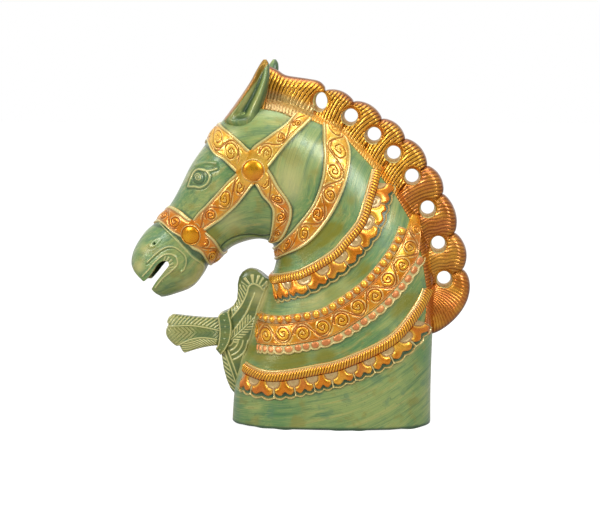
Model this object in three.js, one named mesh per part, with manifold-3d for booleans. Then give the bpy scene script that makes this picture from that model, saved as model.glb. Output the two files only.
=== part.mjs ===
import * as THREE from 'three';
import { mergeVertices } from 'three/addons/utils/BufferGeometryUtils.js';
import Module from 'manifold-3d';

const wasm = await Module();
wasm.setup();

// A hollow brass horse bust, facing -X, standing on its neck.
// Millimetres, +Z up, the symmetry plane is Y = 0 and the horse's left side is at -Y.

// Clearances and walls
const seatGap = 0.6;            // between the bust's skin and a strap bent over it
const cutGap = 0.35;            // round a casting let into the bust
const jointGap = 0.3;           // between the two halves of the bust
const wall = 3.5;               // casting wall
const strapThickness = 1.8;     // bridle straps and collar bands
const ropeThickness = 2.6;      // half-round rope mouldings
const pendantThickness = 1.2;   // pendants and petals hanging from the collars
const buttGap = 0.4;            // between two straps that meet edge to edge

// The bust in side elevation. Each station is a slice across the neck or the head:
// front and back outline points [x, z], half width, squareness and how much the slice
// widens toward its front edge.
const stations = [
  { front: [-56, 0], back: [109, 0], half: 48, square: 3.0, lean: 0.02 },
  { front: [-54, 27], back: [109, 32], half: 48, square: 2.9, lean: 0.03 },
  { front: [-49, 47], back: [110, 72], half: 47.5, square: 2.7, lean: 0.05 },
  { front: [-40, 67], back: [111, 100], half: 45.5, square: 2.5, lean: 0.08 },
  { front: [-33, 88], back: [110, 124], half: 43, square: 2.4, lean: 0.11 },
  { front: [-28, 107], back: [106, 146], half: 40, square: 2.3, lean: 0.14 },
  { front: [-23, 121], back: [98, 170], half: 37, square: 2.3, lean: 0.16 },
  { front: [-20, 131], back: [82, 194], half: 35, square: 2.3, lean: 0.16 },
  { front: [-19, 139], back: [61, 220], half: 34, square: 2.3, lean: 0.14 },
  { front: [-22, 146], back: [41, 237.5], half: 34, square: 2.3, lean: 0.1 },
  { front: [-27, 150], back: [19, 251.5], half: 35, square: 2.3, lean: 0.04 },
  { front: [-35, 151], back: [-5, 263], half: 36.5, square: 2.3, lean: 0 },
  { front: [-45, 149], back: [-30, 267], half: 37, square: 2.4, lean: -0.02 },
  { front: [-55, 145], back: [-52, 260], half: 37, square: 2.5, lean: -0.02 },
  { front: [-63, 139], back: [-67, 244], half: 36, square: 2.6, lean: 0 },
  { front: [-70, 133], back: [-77, 230], half: 34, square: 2.6, lean: 0 },
  { front: [-77, 127], back: [-88, 214], half: 31, square: 2.5, lean: 0 },
  { front: [-85, 115], back: [-105, 183], half: 26.5, square: 2.4, lean: 0 },
  { front: [-92, 109], back: [-117, 167], half: 25, square: 2.3, lean: -0.02 },
  { front: [-102, 105], back: [-129, 156], half: 24.5, square: 2.2, lean: -0.02 },
  { front: [-112, 102], back: [-138, 142], half: 23.5, square: 2.2, lean: 0 },
  { front: [-118, 102], back: [-140.5, 130], half: 20.5, square: 2.1, lean: 0 },
  { front: [-121, 105], back: [-137, 122], half: 14.5, square: 2.0, lean: 0 },
  { front: [-124, 109], back: [-131, 115], half: 6, square: 2.0, lean: 0 },
];
const cavityEnd = 17;           // the station where the hollow stops, behind the muzzle
const bodySteps = 2;            // slices between two stations
const throatSteps = 4;          // the same where the throat bends sharply
const throatStations = [7, 12];
const bodySides = 26;           // facets round a slice
const hollowSides = 18;
const searchSteps = 16;         // samples between two stations when a place is looked for

// Straps and bands: their two edges in side elevation, on the left side
const nosebandEdges = {
  upper: [[-112, 176], [-96, 176], [-85, 169], [-74, 160], [-65, 149], [-61, 141]],
  lower: [[-122, 163], [-107, 161], [-95, 154], [-86, 145], [-77, 137], [-74, 129]],
};
const cheekStrapEdges = {
  upper: [[-84, 170.5], [-66, 190], [-49, 208], [-36, 228], [-24, 237], [-10, 247], [-4, 254]],
  lower: [[-73.5, 161], [-60, 171], [-49, 181], [-35, 198], [-23, 212], [-12, 226], [4, 245]],
};
const browbandEdges = {
  upper: [[-67, 245], [-60, 244], [-42, 230], [-38, 227]],
  lower: [[-78, 229], [-70, 226], [-58, 217], [-51.5, 210.5]],
};
const throatlatchEdges = {
  upper: [[-21.5, 209.5], [-14, 196], [-5, 182], [-4, 175], [-6, 166], [-13, 153], [-21, 149.5]],
  lower: [[-32, 196], [-28, 189], [-22, 182], [-20, 176], [-21, 165], [-23, 155], [-25, 151.5]],
};
const throatCollarEdges = {
  upper: [[19, 247], [20, 235], [21, 218], [19, 201], [12, 182], [-1, 165], [-10, 155], [-22, 145]],
  lower: [[38, 235], [42, 225], [41, 207], [36, 190], [24, 168], [5, 148], [-14, 138], [-19, 133]],
};

// The other collars hang from a guide line that runs from the chest up to the crest
const upperGuide = [[-19, 124], [-9, 129], [3, 134], [24, 147], [35, 158], [46, 171], [51, 185], [56, 200],
  [59, 210]];
const upperRopeWidth = 7;
const upperPendantDrop = 13;
const upperPendants = 9;
const upperPendantSpan = 0.9;
const middleGuide = [[-30, 85], [-14, 85.5], [0, 88], [20, 92.5], [34, 100], [55, 115], [71, 132], [82, 148],
  [88, 162]];
const beadRadius = 3;
const beads = 22;
const middleBandWidth = 16;
const middleBandSpan = 0.94;
const petalDrop = 6;
const petals = 22;
const petalSpan = 0.93;
const lowerGuide = [[-42, 52], [-26, 48.5], [-10, 49.5], [17, 55], [34, 59], [62, 71], [79, 82], [95, 102],
  [101, 114]];
const lowerRopeWidth = 9;
const lowerRopeSpan = 0.97;
const lowerPendantDrop = 12;
const lowerPendants = 9;
const lowerPendantSpan = 0.84;
const scallopDepth = 2.5;

// Rosettes riveted over the strap crossings
const cheekRosette = { centre: [-35, 210], radius: 9.6, rise: 2.6 };
const noseRosette = { centre: [-86.5, 157], radius: 8.6, rise: 2.6 };

// The crest: a forelock and eight rolled lobes of hair. A notch parts each lobe from the one before
// it, and below each notch are a round hole and a point of the root, which lies inside the bust.
const forelockTop = [[-24, 293], [-18, 289.5], [-11, 285.5], [5, 283], [15, 281], [20, 277]];
const forelockRoot = [[-25, 254], [-14, 253], [-3, 249], [5, 248]];
const forelockSteps = 5;
const crestNotches = [[21, 273], [44, 264], [67, 250], [86, 234], [104, 212], [117, 189], [127, 157],
  [134, 127], [108, 73]];
const crestRoots = [[8, 248], [32, 238], [49, 220], [64, 204], [78, 186], [90, 166], [98, 141], [103, 111],
  [102, 88]];
const crestHoles = [[17, 265], [42, 253], [61, 238], [77, 223], [92, 204], [105, 178], [114, 149],
  [119, 120]];
const lobeBulge = [4.5, 5, 5, 5.5, 5.5, 6, 6.5, 15.4];
const lastLobeSkew = 0.8;
const lobeSteps = 4;
const lastLobeSteps = 9;
const crestColumns = [0, 0.62, 0.88, 1];
const firstHoleRadius = 7;
const holeRadius = 6;
const holeSides = 10;
const rimWidth = 2.4;
const rimRise = 1.2;
const crestEdgeHalf = 1;
const crestPlateHalf = 4.6;     // half thickness between two lobes
const lobeSwell = 5.4;          // how much thicker a lobe's middle is, on each side
const forelockSwell = 6.5;
const lobeRound = 7.5;          // width over which a lobe rounds off toward its edge
const forelockRound = 11;
const crestRootHalf = 12;
const crestPollHalf = 17;
const pollStart = -20;          // the crest narrows from its poll to its root half between these
const pollEnd = 10;
const crestSlope = 0.6;         // how fast the root's bulk thins out toward the edge
const crestEdgeRise = 40;
const lobeEdgePower = 0.65;
const lobePower = 0.55;
const forelockPower = 0.25;

// Ears: pricked cones whose front edges go on from the forehead, hollowed on the outer side.
// Each row is a height, the front and back edges, the middle in Y and the half depth.
const earRings = [[243, -55, -35, -18, 11], [249, -60.5, -32, -18, 15], [255, -57, -30.4, -18, 14.5],
  [262, -51.8, -28.4, -18.5, 13], [272, -44.6, -25.2, -19.5, 10], [281, -38.6, -23.4, -20.5, 7.2],
  [289, -34.2, -23, -21, 4.8], [295, -30.6, -23.6, -21.3, 2.8], [298.4, -28, -25.6, -21.5, 0.9]];
const earSides = 14;
const earHollow = { from: 246, to: 295, middle: 6, reach: 38, depth: 0.62 };
const farEarLean = 4;

// The chest plume: a feather tassel gathered in a cuff, and a ruffled fan let into the chest
const fanOutline = [[-52, 19], [-58.5, 25], [-61.5, 32], [-64.2, 42], [-65.2, 49], [-66, 62], [-64, 84],
  [-60.5, 91], [-55.5, 95], [-52.6, 100], [-52, 107], [-52, 113], [-50.6, 119], [-48, 123], [-42, 126.3],
  [-36.6, 125.3], [-32.6, 123], [-28, 119], [-14, 113]];
const fanInside = [[-14, 100], [-20, 84], [-28, 55], [-36, 19]];
const tasselOutline = [[-58, 60], [-72, 58], [-78, 59.5], [-86, 58], [-92, 56], [-97, 54], [-102, 60.5],
  [-108, 63], [-112, 68], [-112.6, 73], [-111, 79], [-110, 84], [-106.5, 87], [-90, 85.8], [-76, 84.4],
  [-58, 86]];
const cuffOutline = [[-64, 53], [-68, 52.5], [-70.5, 58], [-67.5, 64], [-66.5, 75], [-67.5, 86], [-65, 91],
  [-58.5, 93], [-58.5, 89], [-56.5, 79], [-57.5, 68], [-61.5, 59]];
const fanSteps = 30;
const fanHalf = 8.3;
const fanChamfer = 2.5;
const tasselHalf = 6.5;
const tasselChamfer = 2;
const cuffHalf = 9.5;
const cuffChamfer = 1.2;

const green = new THREE.MeshStandardMaterial({ color: 0x6f8a5c, roughness: 0.5, metalness: 0.4 });
const gold = new THREE.MeshStandardMaterial({ color: 0xc98a2e, roughness: 0.35, metalness: 0.8 });
const copper = new THREE.MeshStandardMaterial({ color: 0xc48a6a, roughness: 0.4, metalness: 0.7 });

// Value of a quantity between stations, on a Catmull-Rom spline through them
const fields = stations.map((s) => [...s.front, ...s.back, s.half, s.square, s.lean]);
const lastStation = stations.length - 1;
function slice(u) {
  const at = Math.min(Math.max(u, 0), lastStation);
  const i = Math.min(Math.floor(at), lastStation - 1);
  const t = at - i;
  const [a, b, c, d] = [i - 1, i, i + 1, i + 2].map((k) => fields[Math.min(Math.max(k, 0), lastStation)]);
  return b.map((_, k) => 0.5 * (2 * b[k] + (c[k] - a[k]) * t
    + (2 * a[k] - 5 * b[k] + 4 * c[k] - d[k]) * t * t
    + (3 * b[k] - a[k] - 3 * c[k] + d[k]) * t ** 3));
}

// Point of the bust's skin: u runs from the base to the lips, the angle goes round a slice
// from the front edge (0) over the left side to the back edge (pi). Offset moves the skin out.
function skin(u, angle, offset = 0) {
  const [fx, fz, bx, bz, half, square, lean] = slice(u);
  const length = Math.hypot(bx - fx, bz - fz);
  const [dx, dz] = [(bx - fx) / length, (bz - fz) / length];
  const [c, s] = [Math.cos(angle), Math.sin(angle)];
  const k = (Math.abs(c) ** square + Math.abs(s) ** square) ** (-1 / square);
  const along = length / 2 - (length / 2 + offset) * k * c;
  const y = -(half + offset) * k * s * (1 + lean * k * c);
  return new THREE.Vector3(fx + dx * along, y, fz + dz * along);
}

// Outward normal of the skin, from two small steps on it
function skinNormal(u, angle) {
  const step = 0.01;
  const du = skin(u + step, angle).sub(skin(u - step, angle));
  const da = skin(u, angle + step).sub(skin(u, angle - step));
  return da.cross(du).normalize();
}

// Slice and angle of the left side's skin at a point of the side elevation
function locate([x, z]) {
  const steps = lastStation * searchSteps;
  let best = null;
  let before = null;
  for (let k = 0; k <= steps; k += 1) {
    const u = k / searchSteps;
    const [fx, fz, bx, bz] = slice(u);
    const cross = (x - fx) * (bz - fz) - (z - fz) * (bx - fx);
    if (before !== null && Math.sign(cross) !== Math.sign(before)) {
      const at = u - (cross / (cross - before)) / searchSteps;
      const [gx, gz, hx, hz, , square] = slice(at);
      const share = ((x - gx) * (hx - gx) + (z - gz) * (hz - gz)) / ((hx - gx) ** 2 + (hz - gz) ** 2);
      const miss = Math.abs(share - 0.5);
      if (!best || miss < best.miss) {
        const a = Math.min(Math.max(1 - 2 * share, -0.995), 0.995);
        const b = (1 - Math.abs(a) ** square) ** (1 / square);
        best = { miss, place: [at, Math.atan2(b, a)] };
      }
    }
    before = cross;
  }
  return best.place;
}

// Nearest slice to a point that lies on the front (angle 0) or back (angle pi) outline
function onOutline([x, z], angle) {
  let best = [0, angle];
  let nearest = Infinity;
  for (let k = 0; k <= lastStation * searchSteps; k += 1) {
    const p = skin(k / searchSteps, angle);
    const miss = Math.hypot(p.x - x, p.z - z);
    if (miss < nearest) {
      nearest = miss;
      best = [k / searchSteps, angle];
    }
  }
  return best;
}

// Skin places along an edge; ends that reach an outline are set on it
function edgePlaces(points, count, { from, to } = {}) {
  const places = points.map((p, k) => {
    if (k === 0 && from !== undefined) return onOutline(p, from);
    if (k === points.length - 1 && to !== undefined) return onOutline(p, to);
    return locate(p);
  });
  const curve = new THREE.SplineCurve(places.map(([u, a]) => new THREE.Vector2(u, a)));
  return Array.from({ length: count + 1 }, (_, k) => curve.getPoint(k / count));
}

// Closed solid between an upper and a lower grid of points; a loop's last row meets its first
function slab(top, bottom, loop = false) {
  const rows = top.length;
  const columns = top[0].length;
  const positions = [];
  for (const p of [top, bottom].flat(2)) positions.push(p.x, p.y, p.z);
  const at = (layer, i, j) => layer * rows * columns + (i % rows) * columns + j;
  const index = [];
  const quad = (a, b, c, d) => index.push(a, b, c, a, c, d);
  const last = loop ? rows : rows - 1;
  for (let i = 0; i < last; i += 1) {
    for (let j = 0; j < columns - 1; j += 1) {
      quad(at(0, i, j), at(0, i + 1, j), at(0, i + 1, j + 1), at(0, i, j + 1));
      quad(at(1, i, j), at(1, i, j + 1), at(1, i + 1, j + 1), at(1, i + 1, j));
    }
    quad(at(0, i, 0), at(1, i, 0), at(1, i + 1, 0), at(0, i + 1, 0));
    const e = columns - 1;
    quad(at(0, i, e), at(0, i + 1, e), at(1, i + 1, e), at(1, i, e));
  }
  if (!loop) {
    for (let j = 0; j < columns - 1; j += 1) {
      quad(at(0, 0, j), at(0, 0, j + 1), at(1, 0, j + 1), at(1, 0, j));
      const e = rows - 1;
      quad(at(0, e, j), at(1, e, j), at(1, e, j + 1), at(0, e, j + 1));
    }
  }
  const geometry = new THREE.BufferGeometry();
  geometry.setAttribute('position', new THREE.Float32BufferAttribute(positions, 3));
  geometry.setIndex(index);
  return outward(geometry);
}

// Six times the volume that the triangles enclose, negative when they face inward
function signedVolume(geometry) {
  const p = geometry.attributes.position;
  const index = geometry.index.array;
  const [a, b, c] = [new THREE.Vector3(), new THREE.Vector3(), new THREE.Vector3()];
  let sum = 0;
  for (let k = 0; k < index.length; k += 3) {
    a.fromBufferAttribute(p, index[k]);
    b.fromBufferAttribute(p, index[k + 1]);
    c.fromBufferAttribute(p, index[k + 2]);
    sum += a.dot(b.cross(c));
  }
  return sum;
}

function outward(geometry) {
  if (signedVolume(geometry) < 0) {
    const index = Array.from(geometry.index.array);
    for (let k = 0; k < index.length; k += 3) [index[k + 1], index[k + 2]] = [index[k + 2], index[k + 1]];
    geometry.setIndex(index);
  }
  return geometry;
}

function mirrored(geometry) {
  const copy = geometry.clone();
  copy.scale(1, -1, 1);
  return outward(copy);
}

// A strap bent over the skin between two edges. Rise gives its thickness across its width.
function strap(edges, { along, across, thickness, rise = () => 1, lift = seatGap, ends = {}, loop, both }) {
  const upper = edgePlaces(edges.upper, along, ends);
  const lower = edgePlaces(edges.lower, along, ends);
  const layer = (height) => upper.map((a, i) => {
    const b = lower[i];
    return Array.from({ length: across + 1 }, (_, j) => {
      const t = j / across;
      const u = a.x + (b.x - a.x) * t;
      const angle = a.y + (b.y - a.y) * t;
      return skin(u, angle).addScaledVector(skinNormal(u, angle), height(t, i / along));
    });
  });
  const top = layer((t, s) => lift + thickness * rise(t, s));
  const bottom = layer(() => lift);
  if (!both) return slab(top, bottom);
  const far = (grid) => grid.slice(loop ? 1 : 0, -1).reverse()
    .map((row) => row.map((p) => new THREE.Vector3(p.x, -p.y, p.z)));
  return slab([...top, ...far(top)], [...bottom, ...far(bottom)], loop);
}

function asSolid(geometry) {
  const bare = geometry.clone();
  for (const name of Object.keys(bare.attributes)) if (name !== 'position') bare.deleteAttribute(name);
  const merged = mergeVertices(bare, 1e-4);
  return new wasm.Manifold(new wasm.Mesh({
    numProp: 3,
    vertProperties: new Float32Array(merged.attributes.position.array),
    triVerts: new Uint32Array(merged.index.array),
  }));
}

function asGeometry(solid) {
  const mesh = solid.getMesh();
  const geometry = new THREE.BufferGeometry();
  geometry.setAttribute('position', new THREE.Float32BufferAttribute(mesh.vertProperties, 3));
  geometry.setIndex(Array.from(mesh.triVerts));
  return geometry;
}

// Closed loft through rings of equal count, with fans at both ends
function loft(rings) {
  const sides = rings[0].length;
  const positions = [];
  for (const ring of rings) for (const p of ring) positions.push(p.x, p.y, p.z);
  const index = [];
  for (let i = 0; i < rings.length - 1; i += 1) {
    for (let j = 0; j < sides; j += 1) {
      const [a, b] = [i * sides + j, i * sides + (j + 1) % sides];
      index.push(a, b, b + sides, a, b + sides, a + sides);
    }
  }
  for (const [i, flip] of [[0, false], [rings.length - 1, true]]) {
    const centre = positions.length / 3;
    const mid = rings[i].reduce((sum, p) => sum.add(p), new THREE.Vector3()).divideScalar(sides);
    positions.push(mid.x, mid.y, mid.z);
    for (let j = 0; j < sides; j += 1) {
      const [a, b] = [i * sides + j, i * sides + (j + 1) % sides];
      if (flip) index.push(a, b, centre);
      else index.push(b, a, centre);
    }
  }
  const geometry = new THREE.BufferGeometry();
  geometry.setAttribute('position', new THREE.Float32BufferAttribute(positions, 3));
  geometry.setIndex(index);
  return outward(geometry);
}

// The bust as a closed form up to a slice, with its skin moved out by offset
function bustForm(offset, to, steps, sides, dip) {
  const places = [0];
  for (let k = 0; k < to; k += 1) {
    const fine = steps > 1 && k >= throatStations[0] && k < throatStations[1] ? throatSteps : steps;
    for (let i = 1; i <= fine; i += 1) places.push(k + i / fine);
  }
  const rings = places
    .map((u) => Array.from({ length: sides }, (_, j) => skin(u, 2 * Math.PI * j / sides, offset)));
  if (dip > 0) rings.unshift(rings[0].map((p) => new THREE.Vector3(p.x, p.y, p.z - dip)));
  return asSolid(loft(rings));
}

// A flat outline in side elevation made into a plate, chamfered along its edges
function plate(outline, half, chamfer = 0) {
  const shape = new THREE.Shape(outline.map(([x, z]) => new THREE.Vector2(x, z)));
  const geometry = new THREE.ExtrudeGeometry(shape, {
    depth: 2 * (half - chamfer), steps: 1, bevelEnabled: chamfer > 0, bevelSegments: 1,
    bevelThickness: chamfer, bevelSize: chamfer, bevelOffset: -chamfer,
  });
  geometry.translate(0, 0, chamfer - half);
  geometry.rotateX(Math.PI / 2);
  return asSolid(geometry);
}

// Round bar across the crest, for the raised rim of a hole or its bore
function sleeve([x, z], radius, halfLength, sides) {
  const bore = new THREE.CylinderGeometry(radius, radius, 2 * halfLength, sides);
  bore.translate(x, 0, z);
  return asSolid(bore);
}

function openCurve(points, count) {
  return new THREE.SplineCurve(points.map(([x, z]) => new THREE.Vector2(x, z))).getPoints(count)
    .map((p) => [p.x, p.y]);
}

const group = new THREE.Group();
function add(name, geometry, material) {
  const mesh = new THREE.Mesh(geometry, material);
  mesh.name = name;
  group.add(mesh);
}
function addPair(name, geometry, material) {
  add(`left_${name}`, geometry, material);
  add(`right_${name}`, mirrored(geometry), material);
}

// Bust: an outer form less its hollow and the mouth, cut in two along the symmetry plane
const cavityDip = 10;           // how far the hollow's cutter reaches below the foot
const cutterReach = 700;        // longer than the bust whichever way a cutter lies
const mouthSlot = [[-136, 107], [-131, 113], [-125, 119], [-120, 125], [-116, 131], [-111, 134.5],
  [-107, 134], [-106, 131], [-109, 127], [-113, 122], [-117, 117], [-121, 111], [-126, 104]];
const outer = bustForm(0, lastStation, bodySteps, bodySides, 0);
const hollow = bustForm(-wall, cavityEnd, 1, hollowSides, cavityDip);
const mouth = plate(mouthSlot, cutterReach / 2);
const bust = outer.subtract(hollow).subtract(mouth);
const halfSpace = new THREE.BoxGeometry(cutterReach, cutterReach, cutterReach);
const leftSpace = asSolid(halfSpace.translate(0, -(cutterReach + jointGap) / 2, 0));
const leftHalf = asGeometry(bust.intersect(leftSpace));
add('body_left_half', leftHalf, green);
add('body_right_half', mirrored(leftHalf), green);
const envelope = bustForm(cutGap, lastStation, bodySteps, bodySides, cavityDip);

// Crest: rows from the root to the scalloped edge, with the near and the far face the same, then
// the rims and bores of the holes
const between = ([ax, az], [bx, bz], t) => [ax + (bx - ax) * t, az + (bz - az) * t];
const gap = ([ax, az], [bx, bz]) => Math.hypot(bx - ax, bz - az);
const radiusOf = (k) => (k === 0 ? firstHoleRadius : holeRadius);
function lobeEdge(k, t) {
  const [start, end] = [crestNotches[k], crestNotches[k + 1]];
  const skew = k === lobeBulge.length - 1 ? lastLobeSkew : 1;
  const out = lobeBulge[k] * Math.max(Math.sin(Math.PI * t ** skew), 0) ** lobeEdgePower / gap(start, end);
  const [x, z] = between(start, end, t);
  return [x + (start[1] - end[1]) * out, z + (end[0] - start[0]) * out];
}
function crestRow(root, top, share, swell, round) {
  return crestColumns.map((t) => {
    const [x, z] = between(root, top, t);
    const bore = Math.min(...crestHoles.map((hole, k) => gap(hole, [x, z]) - radiusOf(k) - rimWidth));
    const dip = Math.sqrt(Math.min(Math.max(bore / lobeRound, 0), 1));
    const inward = Math.min(gap([x, z], top) / round, 1);
    const rolled = Math.sqrt(1 - (1 - inward) ** 2);
    const full = crestPlateHalf - crestEdgeHalf + swell * share * dip;
    const past = Math.min(Math.max((x - pollStart) / (pollEnd - pollStart), 0), 1);
    const rootHalf = crestPollHalf + (crestRootHalf - crestPollHalf) * past;
    const half = Math.max(crestEdgeHalf + full * rolled, rootHalf - crestSlope * gap([x, z], root));
    return new THREE.Vector3(x, -Math.min(half, crestEdgeHalf + crestEdgeRise * rolled), z);
  });
}
const forelockShare = (t) => Math.max(Math.sin(Math.PI * t), 0) ** forelockPower;
const lobeShare = (t) => Math.max(Math.sin(Math.PI * t), 0) ** lobePower;
const crestFace = openCurve([...forelockTop, crestNotches[0]], forelockSteps).slice(0, -1)
  .map((top, i) => {
    const root = openCurve([...forelockRoot, crestRoots[0]], forelockSteps)[i];
    return crestRow(root, top, forelockShare(i / forelockSteps), forelockSwell, forelockRound);
  });
lobeBulge.forEach((_, k) => {
  const steps = k === lobeBulge.length - 1 ? lastLobeSteps : lobeSteps;
  for (let i = 0; i < steps; i += 1) {
    const root = between(crestRoots[k], crestRoots[k + 1], i / steps);
    crestFace.push(crestRow(root, lobeEdge(k, i / steps), lobeShare(i / steps), lobeSwell, lobeRound));
  }
});
crestFace.push(crestRow(crestRoots.at(-1), crestNotches.at(-1), 0, 0, lobeRound));
const farFace = crestFace.map((row) => row.map((p) => new THREE.Vector3(p.x, -p.y, p.z)));
let crest = asSolid(slab(crestFace, farFace));
crestHoles.forEach((hole, k) => {
  crest = crest.add(sleeve(hole, radiusOf(k) + rimWidth, crestPlateHalf + rimRise, holeSides));
});
crestHoles.forEach((hole, k) => {
  crest = crest.subtract(sleeve(hole, radiusOf(k), cutterReach / 2, holeSides));
});
add('mane_crest', asGeometry(crest.subtract(envelope)), gold);

// Ears: rings between the front and the back edge, dented where the hollow is, let into the skull
function ear(lean) {
  const { from, to, middle, reach, depth } = earHollow;
  const rings = earRings.map(([z, front, back, y, half]) => {
    const shift = lean * (z - earRings[0][0]) / (earRings.at(-1)[0] - earRings[0][0]);
    return Array.from({ length: earSides }, (_, j) => {
      const angle = 360 * (j / earSides - 0.5);
      const near = Math.max(1 - ((angle - middle) / reach) ** 2, 0) ** 2;
      const dent = z > from && z < to ? depth * near : 0;
      const turn = angle * Math.PI / 180;
      return new THREE.Vector3((front + back) / 2 - (back - front) / 2 * Math.sin(turn) + shift,
        y - half * Math.cos(turn) * (1 - dent), z);
    });
  });
  return asSolid(loft(rings)).subtract(envelope);
}
add('left_ear', asGeometry(ear(0)), green);
add('right_ear', mirrored(asGeometry(ear(farEarLean))), green);

// Plume: three plates cast as one
const fan = plate([...openCurve(fanOutline, fanSteps), ...fanInside], fanHalf, fanChamfer);
const tassel = plate(tasselOutline, tasselHalf, tasselChamfer);
const cuff = plate(cuffOutline, cuffHalf, cuffChamfer);
add('chest_plume', asGeometry(fan.add(tassel).add(cuff).subtract(envelope)), green);

// Bridle
const flat = { across: 2, thickness: strapThickness };
add('noseband', strap(nosebandEdges, {
  ...flat, along: 20, ends: { from: Math.PI, to: 0 }, both: true, loop: true,
}), gold);
add('browband', strap({
  upper: [...browbandEdges.upper].reverse(), lower: [...browbandEdges.lower].reverse(),
}, { ...flat, along: 10, ends: { to: Math.PI }, both: true }), gold);
addPair('cheek_strap', strap(cheekStrapEdges, { ...flat, along: 24 }), gold);
addPair('throatlatch', strap(throatlatchEdges, { ...flat, along: 16 }), gold);

// A guide line moved sideways in side elevation, toward the base; distance may vary along it
function shifted(guide, count, distance, span = 1) {
  const curve = new THREE.SplineCurve(guide.map(([x, z]) => new THREE.Vector2(x, z)));
  return Array.from({ length: count + 1 }, (_, k) => {
    const s = span * k / count;
    const p = curve.getPoint(s);
    const d = curve.getTangent(s);
    const far = distance(k / count);
    return [p.x + d.y * far, p.y - d.x * far];
  });
}

// Collars
const ropeEdge = 0.35;          // thickness of a rope's and a bead's edge, as a share of its middle
const beadEdge = 0.3;
const halfRound = (t) => ropeEdge + (1 - ropeEdge) * Math.sin(Math.PI * t);
const wave = (s, count) => Math.abs(Math.sin(Math.PI * s * count));
add('throat_collar', strap(throatCollarEdges, { ...flat, along: 24, ends: { to: 0 }, both: true }), gold);

// A moulding along a guide line, from one distance below it to another
function moulding(name, guide, from, width, { span = 1, along = 18, across = 2, material = gold, ...form }) {
  const edge = (distance) => shifted(guide, along, distance, span);
  addPair(name, strap({
    upper: edge(() => from), lower: edge((s) => from + width - (form.scallop ? form.scallop(s) : 0)),
  }, { along, across, ...form }), material);
}
function rope(name, guide, width, span) {
  moulding(name, guide, 0, width, { span, thickness: ropeThickness, rise: halfRound });
}
function hangings(name, guide, from, drop, count, { samples, across, span }) {
  moulding(name, guide, from + buttGap, drop, {
    span, along: count * samples, across, thickness: pendantThickness, material: copper,
    scallop: (s) => scallopDepth * (1 - wave(s, count)),
  });
}
rope('upper_collar_rope', upperGuide, upperRopeWidth, 1);
hangings('upper_collar_pendants', upperGuide, upperRopeWidth, upperPendantDrop, upperPendants,
  { samples: 3, across: 2, span: upperPendantSpan });
moulding('middle_collar_beads', middleGuide, -2 * beadRadius - buttGap, 2 * beadRadius, {
  along: beads * 2, thickness: beadRadius,
  rise: (t, s) => beadEdge + (1 - beadEdge) * Math.sin(Math.PI * t) * wave(s, beads),
});
moulding('middle_collar_band', middleGuide, 0, middleBandWidth, {
  span: middleBandSpan, thickness: strapThickness,
});
hangings('middle_collar_petals', middleGuide, middleBandWidth, petalDrop, petals,
  { samples: 2, across: 1, span: petalSpan });
rope('lower_collar_rope', lowerGuide, lowerRopeWidth, lowerRopeSpan);
hangings('lower_collar_pendants', lowerGuide, lowerRopeWidth, lowerPendantDrop, lowerPendants,
  { samples: 3, across: 2, span: lowerPendantSpan });

// Rosette: a domed disc bent like the skin, above the strap crossing
function rosette({ centre: [x, z], radius, rise }) {
  const sides = 14;
  const lift = seatGap + strapThickness + buttGap;
  const ring = (r, height) => Array.from({ length: sides }, (_, i) => {
    const a = 2 * Math.PI * i / sides;
    const [u, angle] = locate([x + radius * r * Math.cos(a), z + radius * r * Math.sin(a)]);
    return skin(u, angle).addScaledVector(skinNormal(u, angle), height);
  });
  const dome = (r) => lift + rise * Math.sqrt(1.15 - r * r);
  return loft([ring(0.2, lift), ring(1, lift), ring(1, dome(1)), ring(0.7, dome(0.7)), ring(0.2, dome(0.2))]);
}
addPair('cheek_rosette', rosette(cheekRosette), gold);
addPair('nose_rosette', rosette(noseRosette), gold);

// The origin is the middle of the overall length
const extent = new THREE.Box3().setFromObject(group);
group.position.x = -(extent.min.x + extent.max.x) / 2;

export default group;
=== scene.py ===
import math

import bpy
import numpy as np
from mathutils import Matrix, Vector


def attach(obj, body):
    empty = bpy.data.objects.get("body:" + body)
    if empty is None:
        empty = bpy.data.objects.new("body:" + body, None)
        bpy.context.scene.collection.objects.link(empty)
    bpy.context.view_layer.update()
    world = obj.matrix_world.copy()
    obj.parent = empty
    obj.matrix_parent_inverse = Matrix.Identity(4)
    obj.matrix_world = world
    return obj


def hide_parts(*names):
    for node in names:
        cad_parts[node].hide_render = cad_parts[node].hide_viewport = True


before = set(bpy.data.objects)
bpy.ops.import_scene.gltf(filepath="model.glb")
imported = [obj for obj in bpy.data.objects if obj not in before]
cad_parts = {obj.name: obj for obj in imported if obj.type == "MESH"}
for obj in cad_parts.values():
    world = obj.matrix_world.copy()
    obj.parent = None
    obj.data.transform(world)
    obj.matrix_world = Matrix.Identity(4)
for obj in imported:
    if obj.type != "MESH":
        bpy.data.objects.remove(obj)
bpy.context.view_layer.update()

# The picture is taken with a long lens, a little behind the horse's left shoulder and above it,
# in a white product tent with a soft box on each side and one over the top. Places are in metres.
VIEW_AZIMUTH = math.radians(4.0)
VIEW_ELEVATION = math.radians(7.0)
VIEW_DISTANCE = 1.347
VIEW_LENS = 97.5
AIM = Vector((0.0, 0.0, 0.137))
LAMP_AIM = Vector((0.0, 0.0, 0.17))

camera_data = bpy.data.cameras.new("view")
camera_data.lens = VIEW_LENS
camera_data.sensor_width = 36.0
camera = bpy.data.objects.new("view", camera_data)
away = Vector((
    math.sin(VIEW_AZIMUTH) * math.cos(VIEW_ELEVATION),
    -math.cos(VIEW_AZIMUTH) * math.cos(VIEW_ELEVATION),
    math.sin(VIEW_ELEVATION),
))
camera.location = AIM + away * VIEW_DISTANCE
camera.rotation_euler = away.to_track_quat("Z", "Y").to_euler()
bpy.context.scene.collection.objects.link(camera)
bpy.context.scene.camera = camera
bpy.context.scene.view_settings.view_transform = "Standard"


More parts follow.
